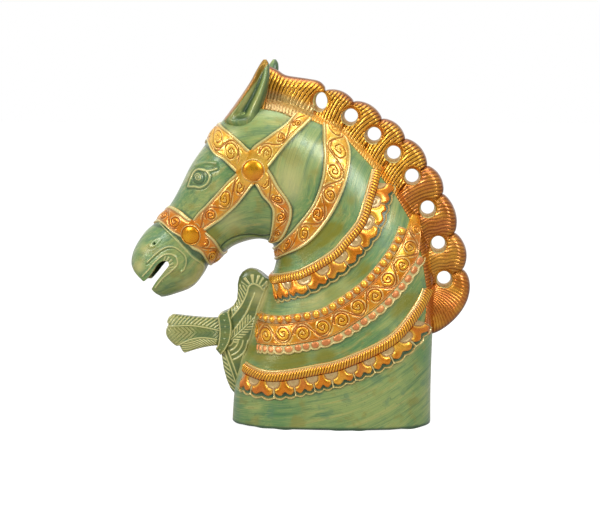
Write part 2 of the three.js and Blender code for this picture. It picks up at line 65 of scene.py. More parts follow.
def soft_box(name, place, size, watts):
    """A square area lamp at a place, turned to the middle of the bust."""
    lamp = bpy.data.lights.new(name, "AREA")
    lamp.shape = "SQUARE"
    lamp.size = size
    lamp.energy = watts
    box = bpy.data.objects.new(name, lamp)
    box.location = place
    box.rotation_euler = (Vector(place) - LAMP_AIM).to_track_quat("Z", "Y").to_euler()
    bpy.context.scene.collection.objects.link(box)


soft_box("left_box", (-1.0, -0.9, 0.8), 0.5, 10.8)
soft_box("right_box", (0.75, -1.1, 0.85), 0.45, 10.8)
soft_box("top_box", (0.1, -0.1, 1.4), 0.8, 9.0)


def shader_tree(tree):
    """Two short ways into a shader tree: one adds a node, the other joins two sockets."""
    tree.nodes.clear()

    def node(kind, **values):
        made = tree.nodes.new(kind)
        for name, value in values.items():
            setattr(made, name, value)
        return made
    return node, tree.links.new


def highest(node, link, first, second):
    """The larger of two shader values."""
    most = node("ShaderNodeMath", operation="MAXIMUM")
    link(first, most.inputs[0])
    link(second, most.inputs[1])
    return most.outputs[0]


# The tent lights the statue evenly. In reflections it is white behind the statue and overhead and dim
# toward the camera, and the camera itself sees plain white.
EVEN_LIGHT = 0.46
world = bpy.data.worlds.new("tent")
world.use_nodes = True
node, link = shader_tree(world.node_tree)
ray = node("ShaderNodeLightPath")
split = node("ShaderNodeSeparateXYZ")
link(node("ShaderNodeTexCoord").outputs["Generated"], split.inputs[0])
backdrop = node("ShaderNodeMapRange")
backdrop.inputs["From Min"].default_value = -0.6
backdrop.inputs["From Max"].default_value = 0.4
backdrop.inputs["To Min"].default_value = 0.07
backdrop.inputs["To Max"].default_value = 1.0
link(split.outputs["Y"], backdrop.inputs["Value"])
overhead = node("ShaderNodeMapRange")
overhead.inputs["From Min"].default_value = 0.15
overhead.inputs["From Max"].default_value = 0.85
overhead.inputs["To Max"].default_value = 0.7
link(split.outputs["Z"], overhead.inputs["Value"])
white = highest(node, link, backdrop.outputs[0], ray.outputs["Is Camera Ray"])
white = highest(node, link, white, overhead.outputs[0])
mirrored_ray = highest(node, link, ray.outputs["Is Glossy Ray"], ray.outputs["Is Transmission Ray"])
glow = node("ShaderNodeMix", data_type="FLOAT")
glow.inputs["A"].default_value = EVEN_LIGHT
link(highest(node, link, mirrored_ray, ray.outputs["Is Camera Ray"]), glow.inputs["Factor"])
link(white, glow.inputs["B"])
sky = node("ShaderNodeBackground")
sky.inputs["Color"].default_value = (1.0, 1.0, 1.0, 1.0)
link(glow.outputs[0], sky.inputs["Strength"])
link(sky.outputs[0], node("ShaderNodeOutputWorld").inputs["Surface"])
bpy.context.scene.world = world

# The paper that it stands on glows white to the camera and dimly in reflections, over a matt grey
# that keeps the shadow.
REACH = 6.0
PAPER_GREY, PAPER_GLOW, PAPER_MIRRORED = 0.3, 0.88, 0.25
floor_mesh = bpy.data.meshes.new("paper")
corners = [(-REACH, -REACH, 0), (REACH, -REACH, 0), (REACH, REACH, 0), (-REACH, REACH, 0)]
floor_mesh.from_pydata(corners, [], [(0, 1, 2, 3)])
paper = bpy.data.objects.new("paper", floor_mesh)
bpy.context.scene.collection.objects.link(paper)
paper_white = bpy.data.materials.new("paper_white")
paper_white.use_nodes = True
node, link = shader_tree(paper_white.node_tree)
matt = node("ShaderNodeBsdfDiffuse")
matt.inputs["Color"].default_value = (PAPER_GREY, PAPER_GREY, PAPER_GREY, 1.0)
ray = node("ShaderNodeLightPath")
glow = node("ShaderNodeMath", operation="MULTIPLY")
glow.inputs[1].default_value = PAPER_GLOW
dimmed = node("ShaderNodeMath", operation="MULTIPLY")
dimmed.inputs[1].default_value = PAPER_MIRRORED
link(ray.outputs["Is Glossy Ray"], dimmed.inputs[0])
link(highest(node, link, ray.outputs["Is Camera Ray"], dimmed.outputs[0]), glow.inputs[0])
lit = node("ShaderNodeEmission")
link(glow.outputs[0], lit.inputs["Strength"])
both = node("ShaderNodeAddShader")
link(matt.outputs[0], both.inputs[0])
link(lit.outputs[0], both.inputs[1])
link(both.outputs[0], node("ShaderNodeOutputMaterial").inputs["Surface"])
floor_mesh.materials.append(paper_white)


# The bust is a hollow brass casting in two halves, joined along the middle, with a slot cut through
# for the mouth, the tips of the lips trimmed and a slightly uneven rim at the foot. It is patinated
# green, brushed and wiped back to a tan bloom, with cream paint left on the cut lines of the face.

# Slices from the foot to the lips, each a rounded section between a point on the front outline and
# one on the back outline, in millimetres: x runs to the horse's back, y to its right and z up
STATIONS = np.array([
    # front x, z, back x, z, half width, squareness, lean toward the front
    (-56, 0, 109, 0, 48, 3.0, 0.02),
    (-54, 27, 109, 32, 48, 2.9, 0.03),
    (-49, 47, 110, 72, 47.5, 2.7, 0.05),
    (-40, 67, 111, 100, 45.5, 2.5, 0.08),
    (-33, 88, 110, 124, 43, 2.4, 0.11),
    (-28, 107, 106, 146, 40, 2.3, 0.14),
    (-23, 121, 98, 170, 37, 2.3, 0.16),
    (-20, 131, 82, 194, 35, 2.3, 0.16),
    (-19, 139, 61, 220, 34, 2.3, 0.14),
    (-22, 146, 41, 237.5, 34, 2.3, 0.1),
    (-27, 150, 19, 251.5, 35, 2.3, 0.04),
    (-35, 151, -5, 263, 36.5, 2.3, 0.0),
    (-45, 149, -30, 267, 37, 2.4, -0.02),
    (-55, 145, -52, 260, 37, 2.5, -0.02),
    (-63, 139, -67, 244, 36, 2.6, 0.0),
    (-70, 133, -77, 230, 34, 2.6, 0.0),
    (-77, 127, -88, 214, 31, 2.5, 0.0),
    (-85, 115, -105, 183, 26.5, 2.4, 0.0),
    (-92, 109, -117, 167, 25, 2.3, -0.02),
    (-102, 105, -129, 156, 24.5, 2.2, -0.02),
    (-112, 102, -138, 142, 23.5, 2.2, 0.0),
    (-118, 102, -140.5, 130, 20.5, 2.1, 0.0),
    (-121, 105, -137, 122, 14.5, 2.0, 0.0),
    (-124, 109, -131, 115, 6, 2.0, 0.0),
])
LAST = len(STATIONS) - 1
WALL = 3.5
HOLLOW_END = 17
FINE_SLICES = 1500
MM = 0.001


def slices(u):
    """Station values at u, on a Catmull-Rom spline through the stations."""
    u = np.clip(np.asarray(u, float), 0, LAST)
    i = np.minimum(u.astype(int), LAST - 1)
    t = (u - i)[..., None]
    a, b, c, d = (STATIONS[np.clip(i + k, 0, LAST)] for k in (-1, 0, 1, 2))
    return 0.5 * (2 * b + (c - a) * t + (2 * a - 5 * b + 4 * c - d) * t * t + (3 * b - a - 3 * c + d) * t ** 3)


def skin(u, angle, offset=0.0):
    """Point of the bust: the slice's middle plus its half length times k cos(angle) along the slice,
    and its half width times k sin(angle) across, where k makes the section a superellipse."""
    s = slices(u)
    fx, fz, bx, bz, half, square, lean = (s[..., k] for k in range(7))
    length = np.hypot(bx - fx, bz - fz)
    dx, dz = (bx - fx) / length, (bz - fz) / length
    c, n = np.cos(angle), np.sin(angle)
    k = (np.abs(c) ** square + np.abs(n) ** square) ** (-1 / square)
    along = length / 2 - (length / 2 + offset) * k * c
    y = -(half + offset) * k * n * (1 + lean * k * c)
    return np.stack([fx + dx * along, y, fz + dz * along], -1)


def skin_normal(u, angle):
    """Outward normal of the bust: the cross product of two small steps on it."""
    e = 0.01
    du = skin(u + e, angle) - skin(u - e, angle)
    da = skin(u, angle + e) - skin(u, angle - e)
    n = np.cross(da, du)
    return n / np.maximum(np.linalg.norm(n, axis=-1, keepdims=True), 1e-9)


def side_places(x, z, guess):
    """Slice and angle on the left side for points of the side elevation: Newton steps find the slice
    whose line from front to back passes through each point, and its share of that line gives the
    angle. Past an outline the angle stays at that outline."""
    u = np.array(guess, float) * np.ones(np.shape(x))
    e = 0.01

    def miss(u):
        s = slices(u)
        return (x - s[..., 0]) * (s[..., 3] - s[..., 1]) - (z - s[..., 1]) * (s[..., 2] - s[..., 0])
    for _ in range(14):
        slope = (miss(u + e) - miss(u - e)) / (2 * e)
        slope = np.where(np.abs(slope) < 1.0, np.where(slope < 0, -1.0, 1.0), slope)
        u = np.clip(u - np.clip(miss(u) / slope, -0.7, 0.7), 0.05, LAST - 0.05)
    s = slices(u)
    fx, fz, bx, bz, square = s[..., 0], s[..., 1], s[..., 2], s[..., 3], s[..., 5]
    share = ((x - fx) * (bx - fx) + (z - fz) * (bz - fz)) / ((bx - fx) ** 2 + (bz - fz) ** 2)
    a = np.clip(1 - 2 * share, -1, 1)
    b = np.clip(1 - np.abs(a) ** square, 0, 1) ** (1 / square)
    return u, np.arctan2(b, a)


def nearest_slice(points):
    """First guess of the slice for a few points: of a fine row of slices, the one whose line passes
    a point and has it nearest the middle of its length."""
    u = np.linspace(0, LAST, FINE_SLICES)
    s = slices(u)
    x, z = np.asarray(points, float).T[:, :, None]
    run = (s[:, 2] - s[:, 0]) ** 2 + (s[:, 3] - s[:, 1]) ** 2
    cross = ((x - s[:, 0]) * (s[:, 3] - s[:, 1]) - (z - s[:, 1]) * (s[:, 2] - s[:, 0])) / np.sqrt(run)
    share = ((x - s[:, 0]) * (s[:, 2] - s[:, 0]) + (z - s[:, 1]) * (s[:, 3] - s[:, 1])) / run
    return u[np.argmin(np.abs(cross) + 25.0 * np.abs(share - 0.5) ** 2, axis=1)]


def spline(points, count, closed=False):
    """Catmull-Rom curve through points, as count samples, ends included unless closed."""
    p = np.asarray(points, float)
    n = len(p)
    spans = n if closed else n - 1
    t = np.linspace(0, spans, count, endpoint=not closed)
    i = np.minimum(t.astype(int), spans - 1)
    f = (t - i)[:, None]
    take = (lambda k: p[k % n]) if closed else (lambda k: p[np.clip(k, 0, n - 1)])
    a, b, c, d = take(i - 1), take(i), take(i + 1), take(i + 2)
    return 0.5 * (2 * b + (c - a) * f + (2 * a - 5 * b + 4 * c - d) * f * f + (3 * b - a - 3 * c + d) * f ** 3)


def to_line(x, z, line):
    """Distance from points (x, z) to a polyline, how far along it the nearest place is, and on which
    side of it the point lies (1 on the left of its direction, -1 on the right)."""
    line = np.asarray(line, float)
    steps = np.hypot(*(line[1:] - line[:-1]).T)
    run = np.concatenate([[0], np.cumsum(steps)])
    best = np.full(np.shape(x), 1e9)
    along = np.zeros(np.shape(x))
    side = np.zeros(np.shape(x))
    for k, size in enumerate(steps):
        (ax, az), (bx, bz) = line[k], line[k + 1]
        t = np.clip(((x - ax) * (bx - ax) + (z - az) * (bz - az)) / max(size ** 2, 1e-9), 0, 1)
        d = np.hypot(x - ax - (bx - ax) * t, z - az - (bz - az) * t)
        near = d < best
        best = np.where(near, d, best)
        along = np.where(near, run[k] + t * size, along)
        side = np.where(near, np.sign((bx - ax) * (z - az) - (bz - az) * (x - ax)), side)
    return best, along, side


def ridge(distance, width):
    """Smooth ridge: 1 at distance 0 and 0 past width."""
    return np.clip(1 - (distance / width) ** 2, 0, 1) ** 2


def rise(low, high, value):
    """0 at low, 1 at high, and smooth between."""
    t = np.clip((value - low) / (high - low), 0, 1)
    return t * t * (3 - 2 * t)


def grid_faces(rows, columns, start=0):
    """Quads of a grid whose points run row by row from the point numbered start."""
    i, j = np.meshgrid(np.arange(rows - 1), np.arange(columns - 1), indexing="ij")
    a = start + i * columns + j
    return np.stack([a, a + 1, a + columns + 1, a + columns], -1).reshape(-1, 4)


def turned_outward(points, faces):
    """The same faces, all turned round if together they enclose a negative volume."""
    quads = np.array([f for f in faces if len(f) == 4])
    fans = [(f[0], f[k], f[k + 1]) for f in faces if len(f) != 4 for k in range(1, len(f) - 1)]
    tris = [quads[:, [0, 1, 2]], quads[:, [0, 2, 3]]] + ([np.array(fans)] if fans else [])
    a, b, c = (points[np.concatenate(tris)[:, k]] for k in range(3))
    return faces if np.einsum("ij,ij->", a, np.cross(b, c)) > 0 else [f[::-1] for f in faces]


def smooth_but_edges(mesh):
    """Smooth shading, with the real corners kept sharp."""
    mesh.polygons.foreach_set("use_smooth", np.ones(len(mesh.polygons), bool))
    mesh.set_sharp_from_angle(angle=math.radians(55))
    mesh.update()


def belongs(piece, replaces):
    """Every piece rides on the bust and stands for its solids of the CAD model."""
    bpy.context.scene.collection.objects.link(piece)
    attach(piece, "root")
    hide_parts(*replaces)
    return piece


def casting(name, points, faces, paint, material, replaces, brush=None):
    """One closed mesh object from points in millimetres. Its paint attribute says how much cream
    (red, in places a painted highlight), dark wash and painted shade (green) and gold (blue: on the patina olive up to
    a half, on gilt a painted highlight) lies on each point."""
    points = np.asarray(points, float)
    mesh = bpy.data.meshes.new(name)
    mesh.from_pydata((points * MM).tolist(), [], turned_outward(points, faces))
    layer = mesh.color_attributes.new("paint", "FLOAT_COLOR", "POINT")
    layer.data.foreach_set("color", np.concatenate([paint, np.ones((len(paint), 1))], 1).astype(np.float32).ravel())
    if brush is not None:
        layer = mesh.attributes.new("brush", "FLOAT_VECTOR", "POINT")
        layer.data.foreach_set("vector", brush.astype(np.float32).ravel())
    mesh.materials.append(material)
    smooth_but_edges(mesh)
    return belongs(bpy.data.objects.new(name, mesh), replaces)


def mirrored_copy(piece, name, replaces):
    """The horse's right side of a left piece: the same mesh mirrored in the middle plane."""
    mesh = piece.data.copy()
    mesh.name = name
    mesh.transform(Matrix.Scale(-1, 4, (0, 1, 0)))
    mesh.flip_normals()
    return belongs(bpy.data.objects.new(name, mesh), replaces)


def cut_away(piece, points, faces, paint):
    """Cuts a closed form out of a piece. The cut faces take the cutter's paint."""
    cutter_mesh = bpy.data.meshes.new("cutter")
    cutter_mesh.from_pydata((points * MM).tolist(), [], turned_outward(points, faces))
    layer = cutter_mesh.color_attributes.new("paint", "FLOAT_COLOR", "POINT")
    layer.data.foreach_set("color", np.tile(np.float32([*paint, 1.0]), len(points)))
    cutter = bpy.data.objects.new("cutter", cutter_mesh)
    bpy.context.scene.collection.objects.link(cutter)
    cut = piece.modifiers.new("cut", "BOOLEAN")
    cut.operation = "DIFFERENCE"
    cut.solver = "MANIFOLD"
    cut.object = cutter
    shape = bpy.data.meshes.new_from_object(piece.evaluated_get(bpy.context.evaluated_depsgraph_get()))
    piece.modifiers.clear()
    whole = piece.data
    piece.data = shape
    bpy.data.meshes.remove(whole)
    shape.name = piece.name
    bpy.data.objects.remove(cutter)
    smooth_but_edges(shape)


# Eye, lips, nostril and jaw, as lines on the side elevation (x, z). The slot of the mouth is narrower
# deep inside, and the last points of the lips' cutter lie outside the casting.
EYE_BALL = (-79.6, 203.3)
EYE_RIM = [(-89.4, 195.6), (-86, 202.6), (-83.2, 207.6), (-79.2, 209.8), (-74, 209.4), (-70.4, 205.3),
           (-72, 199.4), (-77.6, 195.8), (-83.2, 195.9)]
EYE_COIL = 3.5
EYE_TAIL = [(-80, 209.8), (-75, 209.2), (-70, 209.4), (-64.6, 211)]
EYE_BROW = [(-83, 212.5), (-78, 214.6), (-72, 215.6), (-65, 215.4)]
MOUTH = [(-136, 107), (-131, 113), (-125, 119), (-120, 125), (-116, 131), (-111, 134.5), (-107, 134), (-106, 131),
         (-109, 127), (-113, 122), (-117, 117), (-121, 111), (-126, 104)]
MOUTH_THROUGH = [(-136, 104), (-131, 109.4), (-125.3, 115.4), (-119.8, 121.6), (-115.2, 127.4), (-112, 131),
                 (-109, 131.6), (-107.4, 129.6), (-109, 126.4), (-113, 121.6), (-117, 116.6), (-121, 110.6),
                 (-126, 103)]
LIP_TIPS = [(-142, 133), (-135.8, 124.4), (-127.8, 117.2), (-125.9, 117.6), (-123.6, 117.3), (-122, 111.5),
            (-121, 110.2), (-120.2, 108.8), (-118.2, 106.2), (-115.6, 104), (-114, 97), (-142, 97)]
LIP = [(-128, 121.5), (-122, 128), (-117, 134), (-110, 139.5), (-104, 140.3), (-100, 138), (-98.7, 134),
       (-100, 130), (-106, 124.5), (-112, 119.5), (-118, 112)]
LIP_FOLD = [(-124, 133), (-119, 138), (-113, 143), (-107, 146), (-101, 146), (-96, 143), (-92.3, 139),
            (-91.5, 134), (-93.5, 128), (-96, 125.5)]
TEETH_CENTRE = (-113.0, 127.0)
NOSTRIL = (-118.5, 148.5)
NOSTRIL_TURN = math.radians(38)
JAW_CREASE = [(-63, 145.5), (-60, 149), (-55, 152.5), (-48, 155), (-39, 156), (-30, 154.5), (-23, 156)]
NOSE_LINE = [(-116, 166), (-105.6, 157.6), (-96.7, 149.4), (-86.5, 138.5), (-79, 131.5), (-80, 124.5),
             (-85.1, 117), (-91, 113)]


def carved_face(x, z):
    """Height of the carved face and its cream and dark paint: ridges and grooves, each by its
    distance to one of the lines above."""
    eye = np.hypot(x - EYE_BALL[0], z - EYE_BALL[1])
    turn = (np.arctan2(z - EYE_BALL[1], x - EYE_BALL[0]) + math.pi) / (2 * math.pi)
    lid = np.minimum(to_line(x, z, spline(EYE_RIM + EYE_RIM[:1], 70))[0], to_line(x, z, spline(EYE_TAIL, 14))[0])
    brow = to_line(x, z, spline(EYE_BROW, 16))[0]
    coil = np.minimum(np.abs(eye - 0.1 - 1.5 * turn), np.abs(eye - 1.6 - 1.7 * turn))
    height = 1.8 * np.exp(-(eye / 10.0) ** 2) + 0.5 * ridge(eye, 5.4)
    height += 0.75 * ridge(lid, 1.0) - 0.5 * ridge(lid - 1.7, 0.8) + 0.8 * ridge(brow, 2.0)
    height += np.where(eye < EYE_COIL, 0.45 * ridge(coil, 0.6), 0) - 0.5 * ridge(eye - 5.3, 0.7)
    cream = np.maximum(ridge(lid, 0.85), 0.35 * ridge(brow, 1.2))
    cream = np.maximum(cream, np.where(eye < EYE_COIL, 0.9 * ridge(coil, 0.62), 0))
    dark = np.maximum.reduce([0.7 * ridge(lid - 1.6, 1.0), 0.5 * rise(5.6, 5.0, eye), 0.85 * ridge(eye - 5.0, 0.9)])

    lip = to_line(x, z, spline(LIP, 60))[0]
    slot = to_line(x, z, spline(MOUTH[2:11], 40))[0]
    fold, _, fold_side = to_line(x, z, spline(LIP_FOLD, 50))
    teeth_turn = np.arctan2(z - TEETH_CENTRE[1], x - TEETH_CENTRE[0])
    comb = 0.5 + 0.5 * np.cos(teeth_turn * 26)
    gum = rise(4.6, 3.8, slot) * rise(0.5, 1.2, lip) * rise(-1.9, -1.3, teeth_turn) * rise(1.6, 1.1, teeth_turn)
    height += 0.8 * ridge(lip, 1.2) + 0.5 * gum * comb + 0.7 * ridge(fold, 1.1)
    height -= 0.45 * ridge(fold - 1.6, 0.9) * (fold_side < 0)
    cream = np.maximum.reduce([cream, 0.9 * ridge(lip, 0.95), 0.7 * gum * comb, 0.8 * ridge(fold, 0.8)])
    dark = np.maximum.reduce([dark, 0.45 * gum * (1 - comb), 0.35 * ridge(fold - 1.3, 0.8)])

    px = (x - NOSTRIL[0]) * math.cos(NOSTRIL_TURN) + (z - NOSTRIL[1]) * math.sin(NOSTRIL_TURN)
    pz = -(x - NOSTRIL[0]) * math.sin(NOSTRIL_TURN) + (z - NOSTRIL[1]) * math.cos(NOSTRIL_TURN)
    flare = np.hypot((px - 1.5) / 2.6, pz)
    hole = np.hypot(px / 1.25, pz)
    height += 0.3 * ridge(flare - 1.7, 1.6) - 2.4 * ridge(hole, 1.2)
    cream = np.maximum(cream, 0.28 * ridge(flare - 1.7, 1.1))
    dark = np.maximum(dark, ridge(hole, 1.7))

    crease = to_line(x, z, spline(JAW_CREASE, 30))[0]
    line, _, side = to_line(x, z, spline(NOSE_LINE, 50))
    channel = rise(0.7, 1.5, line) * rise(5.5, 4.0, line) * (side > 0) * rise(122, 129, z)
    height += 0.6 * ridge(line, 1.1) - 1.0 * ridge(crease, 1.5) - 0.5 * channel
    cream = np.maximum.reduce([cream, 0.8 * ridge(line, 0.85), 0.25 * ridge(crease - 1.6, 1.0)])
    dark = np.maximum.reduce([dark, 0.9 * ridge(crease, 1.2), 0.7 * channel])
    return height, cream, dark


# Patches wiped back to tan, some of them a painted sheen on the cheek and the neck, patches of an olive
# glaze, and gilt ones beside the crest: place on the side elevation, radius, strength
TAN_AND_SHEEN = [(-131, 129, 6, 0.6), (-127, 144, 5, 0.4), (-84, 118, 8, 0.45), (-94, 112, 8, 0.4), (-52, 240, 9, 0.4),
         (-64, 196, 8, 0.3), (-6, 206, 15, 0.55), (-4, 190, 11, 0.3), (14, 107, 18, 0.45), (42, 120, 14, 0.35),
         (50, 96, 16, 0.3), (-32, 106, 7, 0.6), (-37, 90, 7, 0.6), (-41, 76, 7, 0.6), (-45, 60, 6, 0.5),
         (-48, 44, 6, 0.5), (60, 30, 20, 0.08), (-80, 129, 4, 0.7), (-82, 121, 4, 0.7), (-89, 113, 6, 0.5),
         (-6, 66, 13, 0.45), (20, 68, 12, 0.4), (70, 120, 12, 0.3), (-54, 169, 14, 0.45), (78, 186, 6, 0.4)]
OLIVE = [(-68, 158, 6, 0.6), (26, 163, 5, 0.6), (6, 149, 9, 0.7), (20, 155, 7, 0.6), (33, 163, 6, 0.5),
         (-9, 136, 5, 0.6), (54, 131, 7, 0.45), (44, 123, 6, 0.3), (-28, 60, 8, 0.9), (-20, 66, 8, 0.4),
         (-12, 58, 9, 0.8), (2, 58, 8, 0.6), (24, 59, 9, 0.65), (-36, 92, 8, 0.35), (-44, 62, 7, 0.35),
         (88, 104, 8, 0.6), (80, 96, 6, 0.4), (44, 186, 5, 0.4), (30, 112, 8, 0.25)]
GILDED = [(80, 208, 6, 0.9), (88, 205, 6, 0.9), (93, 190, 6, 0.8), (98, 176, 7, 0.9), (101, 160, 7, 0.9),
          (103, 146, 6, 0.8)]


def patches(x, z, places):
    """Sum of soft round patches."""
    return sum(amount * np.exp(-((x - px) ** 2 + (z - pz) ** 2) / radius ** 2)
               for px, pz, radius, amount in places)


def noise_field(node, link, source, scale, detail, stretch=(1, 1, 1)):
    """Noise over a vector that is stretched first."""
    mapping = node("ShaderNodeMapping")
    mapping.inputs["Scale"].default_value = stretch
    link(source, mapping.inputs["Vector"])
    field = node("ShaderNodeTexNoise")
    field.inputs["Scale"].default_value = scale
    field.inputs["Detail"].default_value = detail
    link(mapping.outputs[0], field.inputs["Vector"])
    return field.outputs["Fac"]


def blend(node, link, base, top, amount, most=1.0, low=0.0, high=1.0):
    """The top colour over the base where amount runs from low to high, up to most of it."""
    share = node("ShaderNodeMapRange", interpolation_type="SMOOTHSTEP")
    share.inputs["From Min"].default_value = low
    share.inputs["From Max"].default_value = high
    share.inputs["To Max"].default_value = most
    link(amount, share.inputs["Value"])
    mix = node("ShaderNodeMix", data_type="RGBA")
    link(share.outputs[0], mix.inputs["Factor"])
    for socket, value in ((6, base), (7, top)):
        if isinstance(value, tuple):
            mix.inputs[socket].default_value = (*value, 1.0)
        else:
            link(value, mix.inputs[socket])
    return mix.outputs[2]


def ranged(node, link, source, target, low, high, start=0.0, end=1.0):
    """Drives a shader socket from low to high while the source runs from start to end."""
    span = node("ShaderNodeMapRange")
    span.inputs["From Min"].default_value = start
    span.inputs["From Max"].default_value = end
    span.inputs["To Min"].default_value = low
    span.inputs["To Max"].default_value = high
    link(source, span.inputs["Value"])
    link(span.outputs[0], target)


def finish_of(name):
    """A new material: itself, its two short ways, the place in metres, the brush attribute, and the
    paint attribute split into cream (red), dark wash and painted shade (green) and gold, on gilt a painted highlight
    (blue)."""
    material = bpy.data.materials.new(name)
    material.use_nodes = True
    node, link = shader_tree(material.node_tree)
    brush = node("ShaderNodeAttribute", attribute_name="brush").outputs["Vector"]
    place = node("ShaderNodeTexCoord").outputs["Object"]
    paint = node("ShaderNodeSeparateColor")
    link(node("ShaderNodeAttribute", attribute_name="paint").outputs["Color"], paint.inputs[0])
    return material, node, link, place, brush, paint.outputs


def lacquered(node, link, colour, relief, strength, distance, coat, coat_roughness):
    """The shader of a coloured metal under a clear coat, roughened by a fine relief."""
    shader = node("ShaderNodeBsdfPrincipled")
    link(colour, shader.inputs["Base Color"])
    shader.inputs["Coat Weight"].default_value = coat
    shader.inputs["Coat Roughness"].default_value = coat_roughness
    grain = node("ShaderNodeBump")
    grain.inputs["Strength"].default_value = strength
    grain.inputs["Distance"].default_value = distance
    link(relief, grain.inputs["Height"])
    link(grain.outputs[0], shader.inputs["Normal"])
    link(shader.outputs[0], node("ShaderNodeOutputMaterial").inputs["Surface"])
    return shader


CREAM = (0.60, 0.545, 0.215)


def patina_green():
    """Green patina over brass: light and dark green brushed in streaks that follow the piece's brush
    attribute (millimetres along and across the strokes), a tan bloom, and the paint attribute's
    cream (in places a painted sheen and highlight), dark wash with painted shade, olive and gold over them."""
    material, node, link, place, brush, paint = finish_of("patina_green")
    broad = noise_field(node, link, place, 22.0, 3.0)
    stroke = noise_field(node, link, brush, 0.24, 6.0, (0.12, 1.0, 1.0))
    fine = noise_field(node, link, brush, 2.2, 4.0, (0.045, 1.0, 1.0))
    mottle = noise_field(node, link, place, 70.0, 5.0)
    speck = noise_field(node, link, place, 520.0, 3.0)
    colour = blend(node, link, (0.118, 0.240, 0.072), (0.270, 0.345, 0.100), broad, 0.9, 0.38, 0.62)
    colour = blend(node, link, colour, (0.056, 0.152, 0.056), stroke, 0.65, 0.50, 0.64)
    colour = blend(node, link, colour, (0.42, 0.385, 0.115), stroke, 0.6, 0.46, 0.33)
    colour = blend(node, link, colour, (0.24, 0.22, 0.035), mottle, 0.65, 0.53, 0.68)
    colour = blend(node, link, colour, (0.085, 0.190, 0.092), mottle, 0.6, 0.45, 0.31)
    colour = blend(node, link, colour, (0.37, 0.39, 0.12), fine, 0.55, 0.52, 0.66)
    colour = blend(node, link, colour, (0.070, 0.145, 0.060), fine, 0.5, 0.46, 0.33)
    colour = blend(node, link, colour, (0.04, 0.09, 0.04), speck, 0.5, 0.62, 0.75)
    colour = blend(node, link, colour, (0.020, 0.060, 0.026), paint["Green"], 0.92)
    streaked = node("ShaderNodeMath", operation="MULTIPLY")
    link(paint["Blue"], streaked.inputs[0])
    ranged(node, link, stroke, streaked.inputs[1], 0.75, 1.2, 0.60, 0.42)
    colour = blend(node, link, colour, (0.190, 0.185, 0.009), streaked.outputs[0], 0.88, 0.0, 0.5)
    colour = blend(node, link, colour, (0.40, 0.165, 0.015), streaked.outputs[0], 0.95, 0.55, 1.0)
    colour = blend(node, link, colour, CREAM, paint["Red"], 0.95)
    shader = lacquered(node, link, colour, fine, 0.35, 0.0005, 0.36, 0.21)
    ranged(node, link, paint["Blue"], shader.inputs["Metallic"], 0.10, 0.5, 0.5, 1.0)
    ranged(node, link, stroke, shader.inputs["Roughness"], 0.26, 0.46, 0.3, 0.7)
    return material


green = patina_green()

# Guide lines of the three collars, the line between the brush strokes of the neck and of the head, and
# the painted shade below each collar: from how far to how far below its guide, and how strong
UPPER_GUIDE = [(-22.5, 123.4), (-8.5, 127.4), (4.2, 131.6), (26, 145), (37, 156.4), (47.6, 170), (52.4, 184.4),
               (56.6, 200), (59, 210)]
MIDDLE_GUIDE = [(-33.2, 84.8), (-14, 85.5), (0, 88), (20, 92.5), (34, 100), (55, 115), (71, 132), (82, 148),
                (88, 162)]
LOWER_GUIDE = [(-42, 52), (-26, 48.5), (-10, 49.5), (17, 55), (34, 59), (62, 71), (79, 82), (95, 102),
               (101, 114)]
HEAD_BORDER = [(-25, 140), (-22, 152), (-13, 162), (-12, 178), (-18, 190), (-35, 209), (-20, 226), (-4, 246),
               (4, 275)]
SHADOWS = [(UPPER_GUIDE, 16.0, 21.0, 0.85), (MIDDLE_GUIDE, 20.0, 22.5, 0.6), (LOWER_GUIDE, 16.0, 20.5, 0.85)]

# Upper and lower edge of each strap of the bridle, beside which shade is painted on the skin too
NOSEBAND = ([(-112, 176), (-96, 176), (-85, 169), (-74, 160), (-65, 149), (-61, 141)],
            [(-122, 163), (-107, 161), (-95, 154), (-86, 145), (-77, 137), (-74, 129)])
BROWBAND = ([(-33, 224), (-42, 230), (-60, 244), (-67, 245)],
            [(-46, 206), (-51.5, 210.5), (-58, 217), (-70, 226), (-78, 229)])
CHEEK = ([(-88, 166), (-84, 170.5), (-66, 190), (-49, 208), (-36, 228), (-24, 237), (-10, 247), (-3, 255)],
         [(-78, 157), (-73.5, 161), (-60, 171), (-49, 181), (-35, 198), (-23, 212), (-12, 226), (4, 243),
          (11, 250)])
THROAT_STRAP = ([(-29, 220), (-21.5, 209.5), (-14, 196), (-5, 182), (-4, 175), (-6, 166), (-13, 153),
                 (-21, 149.5)],
                [(-40, 206), (-32, 196), (-28, 189), (-22, 182), (-20, 176), (-21, 165), (-23, 155),
                 (-25, 151.5)])
THROAT_COLLAR = ([(19, 247), (20, 235), (21, 218), (19, 201), (12, 182), (-1, 165), (-10, 155), (-22, 145)],
                 [(38, 235), (42, 225), (41, 207), (36, 190), (24, 168), (5, 148), (-14, 138), (-19, 133)])

# Outer skin: rows of points along the slices, closer together on the head, with the face carved in
ROWS_NECK, ROWS_HEAD, COLUMNS, INNER_COLUMNS = 130, 280, 216, 14
HEAD_SLICE = 12
u_rows = np.concatenate([np.linspace(0, HEAD_SLICE, ROWS_NECK, endpoint=False),
                         np.linspace(HEAD_SLICE, LAST, ROWS_HEAD)])
rows = len(u_rows)
u, a = np.meshgrid(u_rows, np.linspace(0, math.pi, COLUMNS), indexing="ij")
base = skin(u, a)
x, z = base[..., 0], base[..., 2]
height, cream, dark = carved_face(x, z)
outer = base + skin_normal(u, a) * height[..., None]
outer[:, [0, -1], 1] = 0.0
outer[0, :, 2] = 0.9 + 0.5 * np.sin(x[0] * 0.11) + 0.35 * np.sin(x[0] * 0.31 + 1.0)
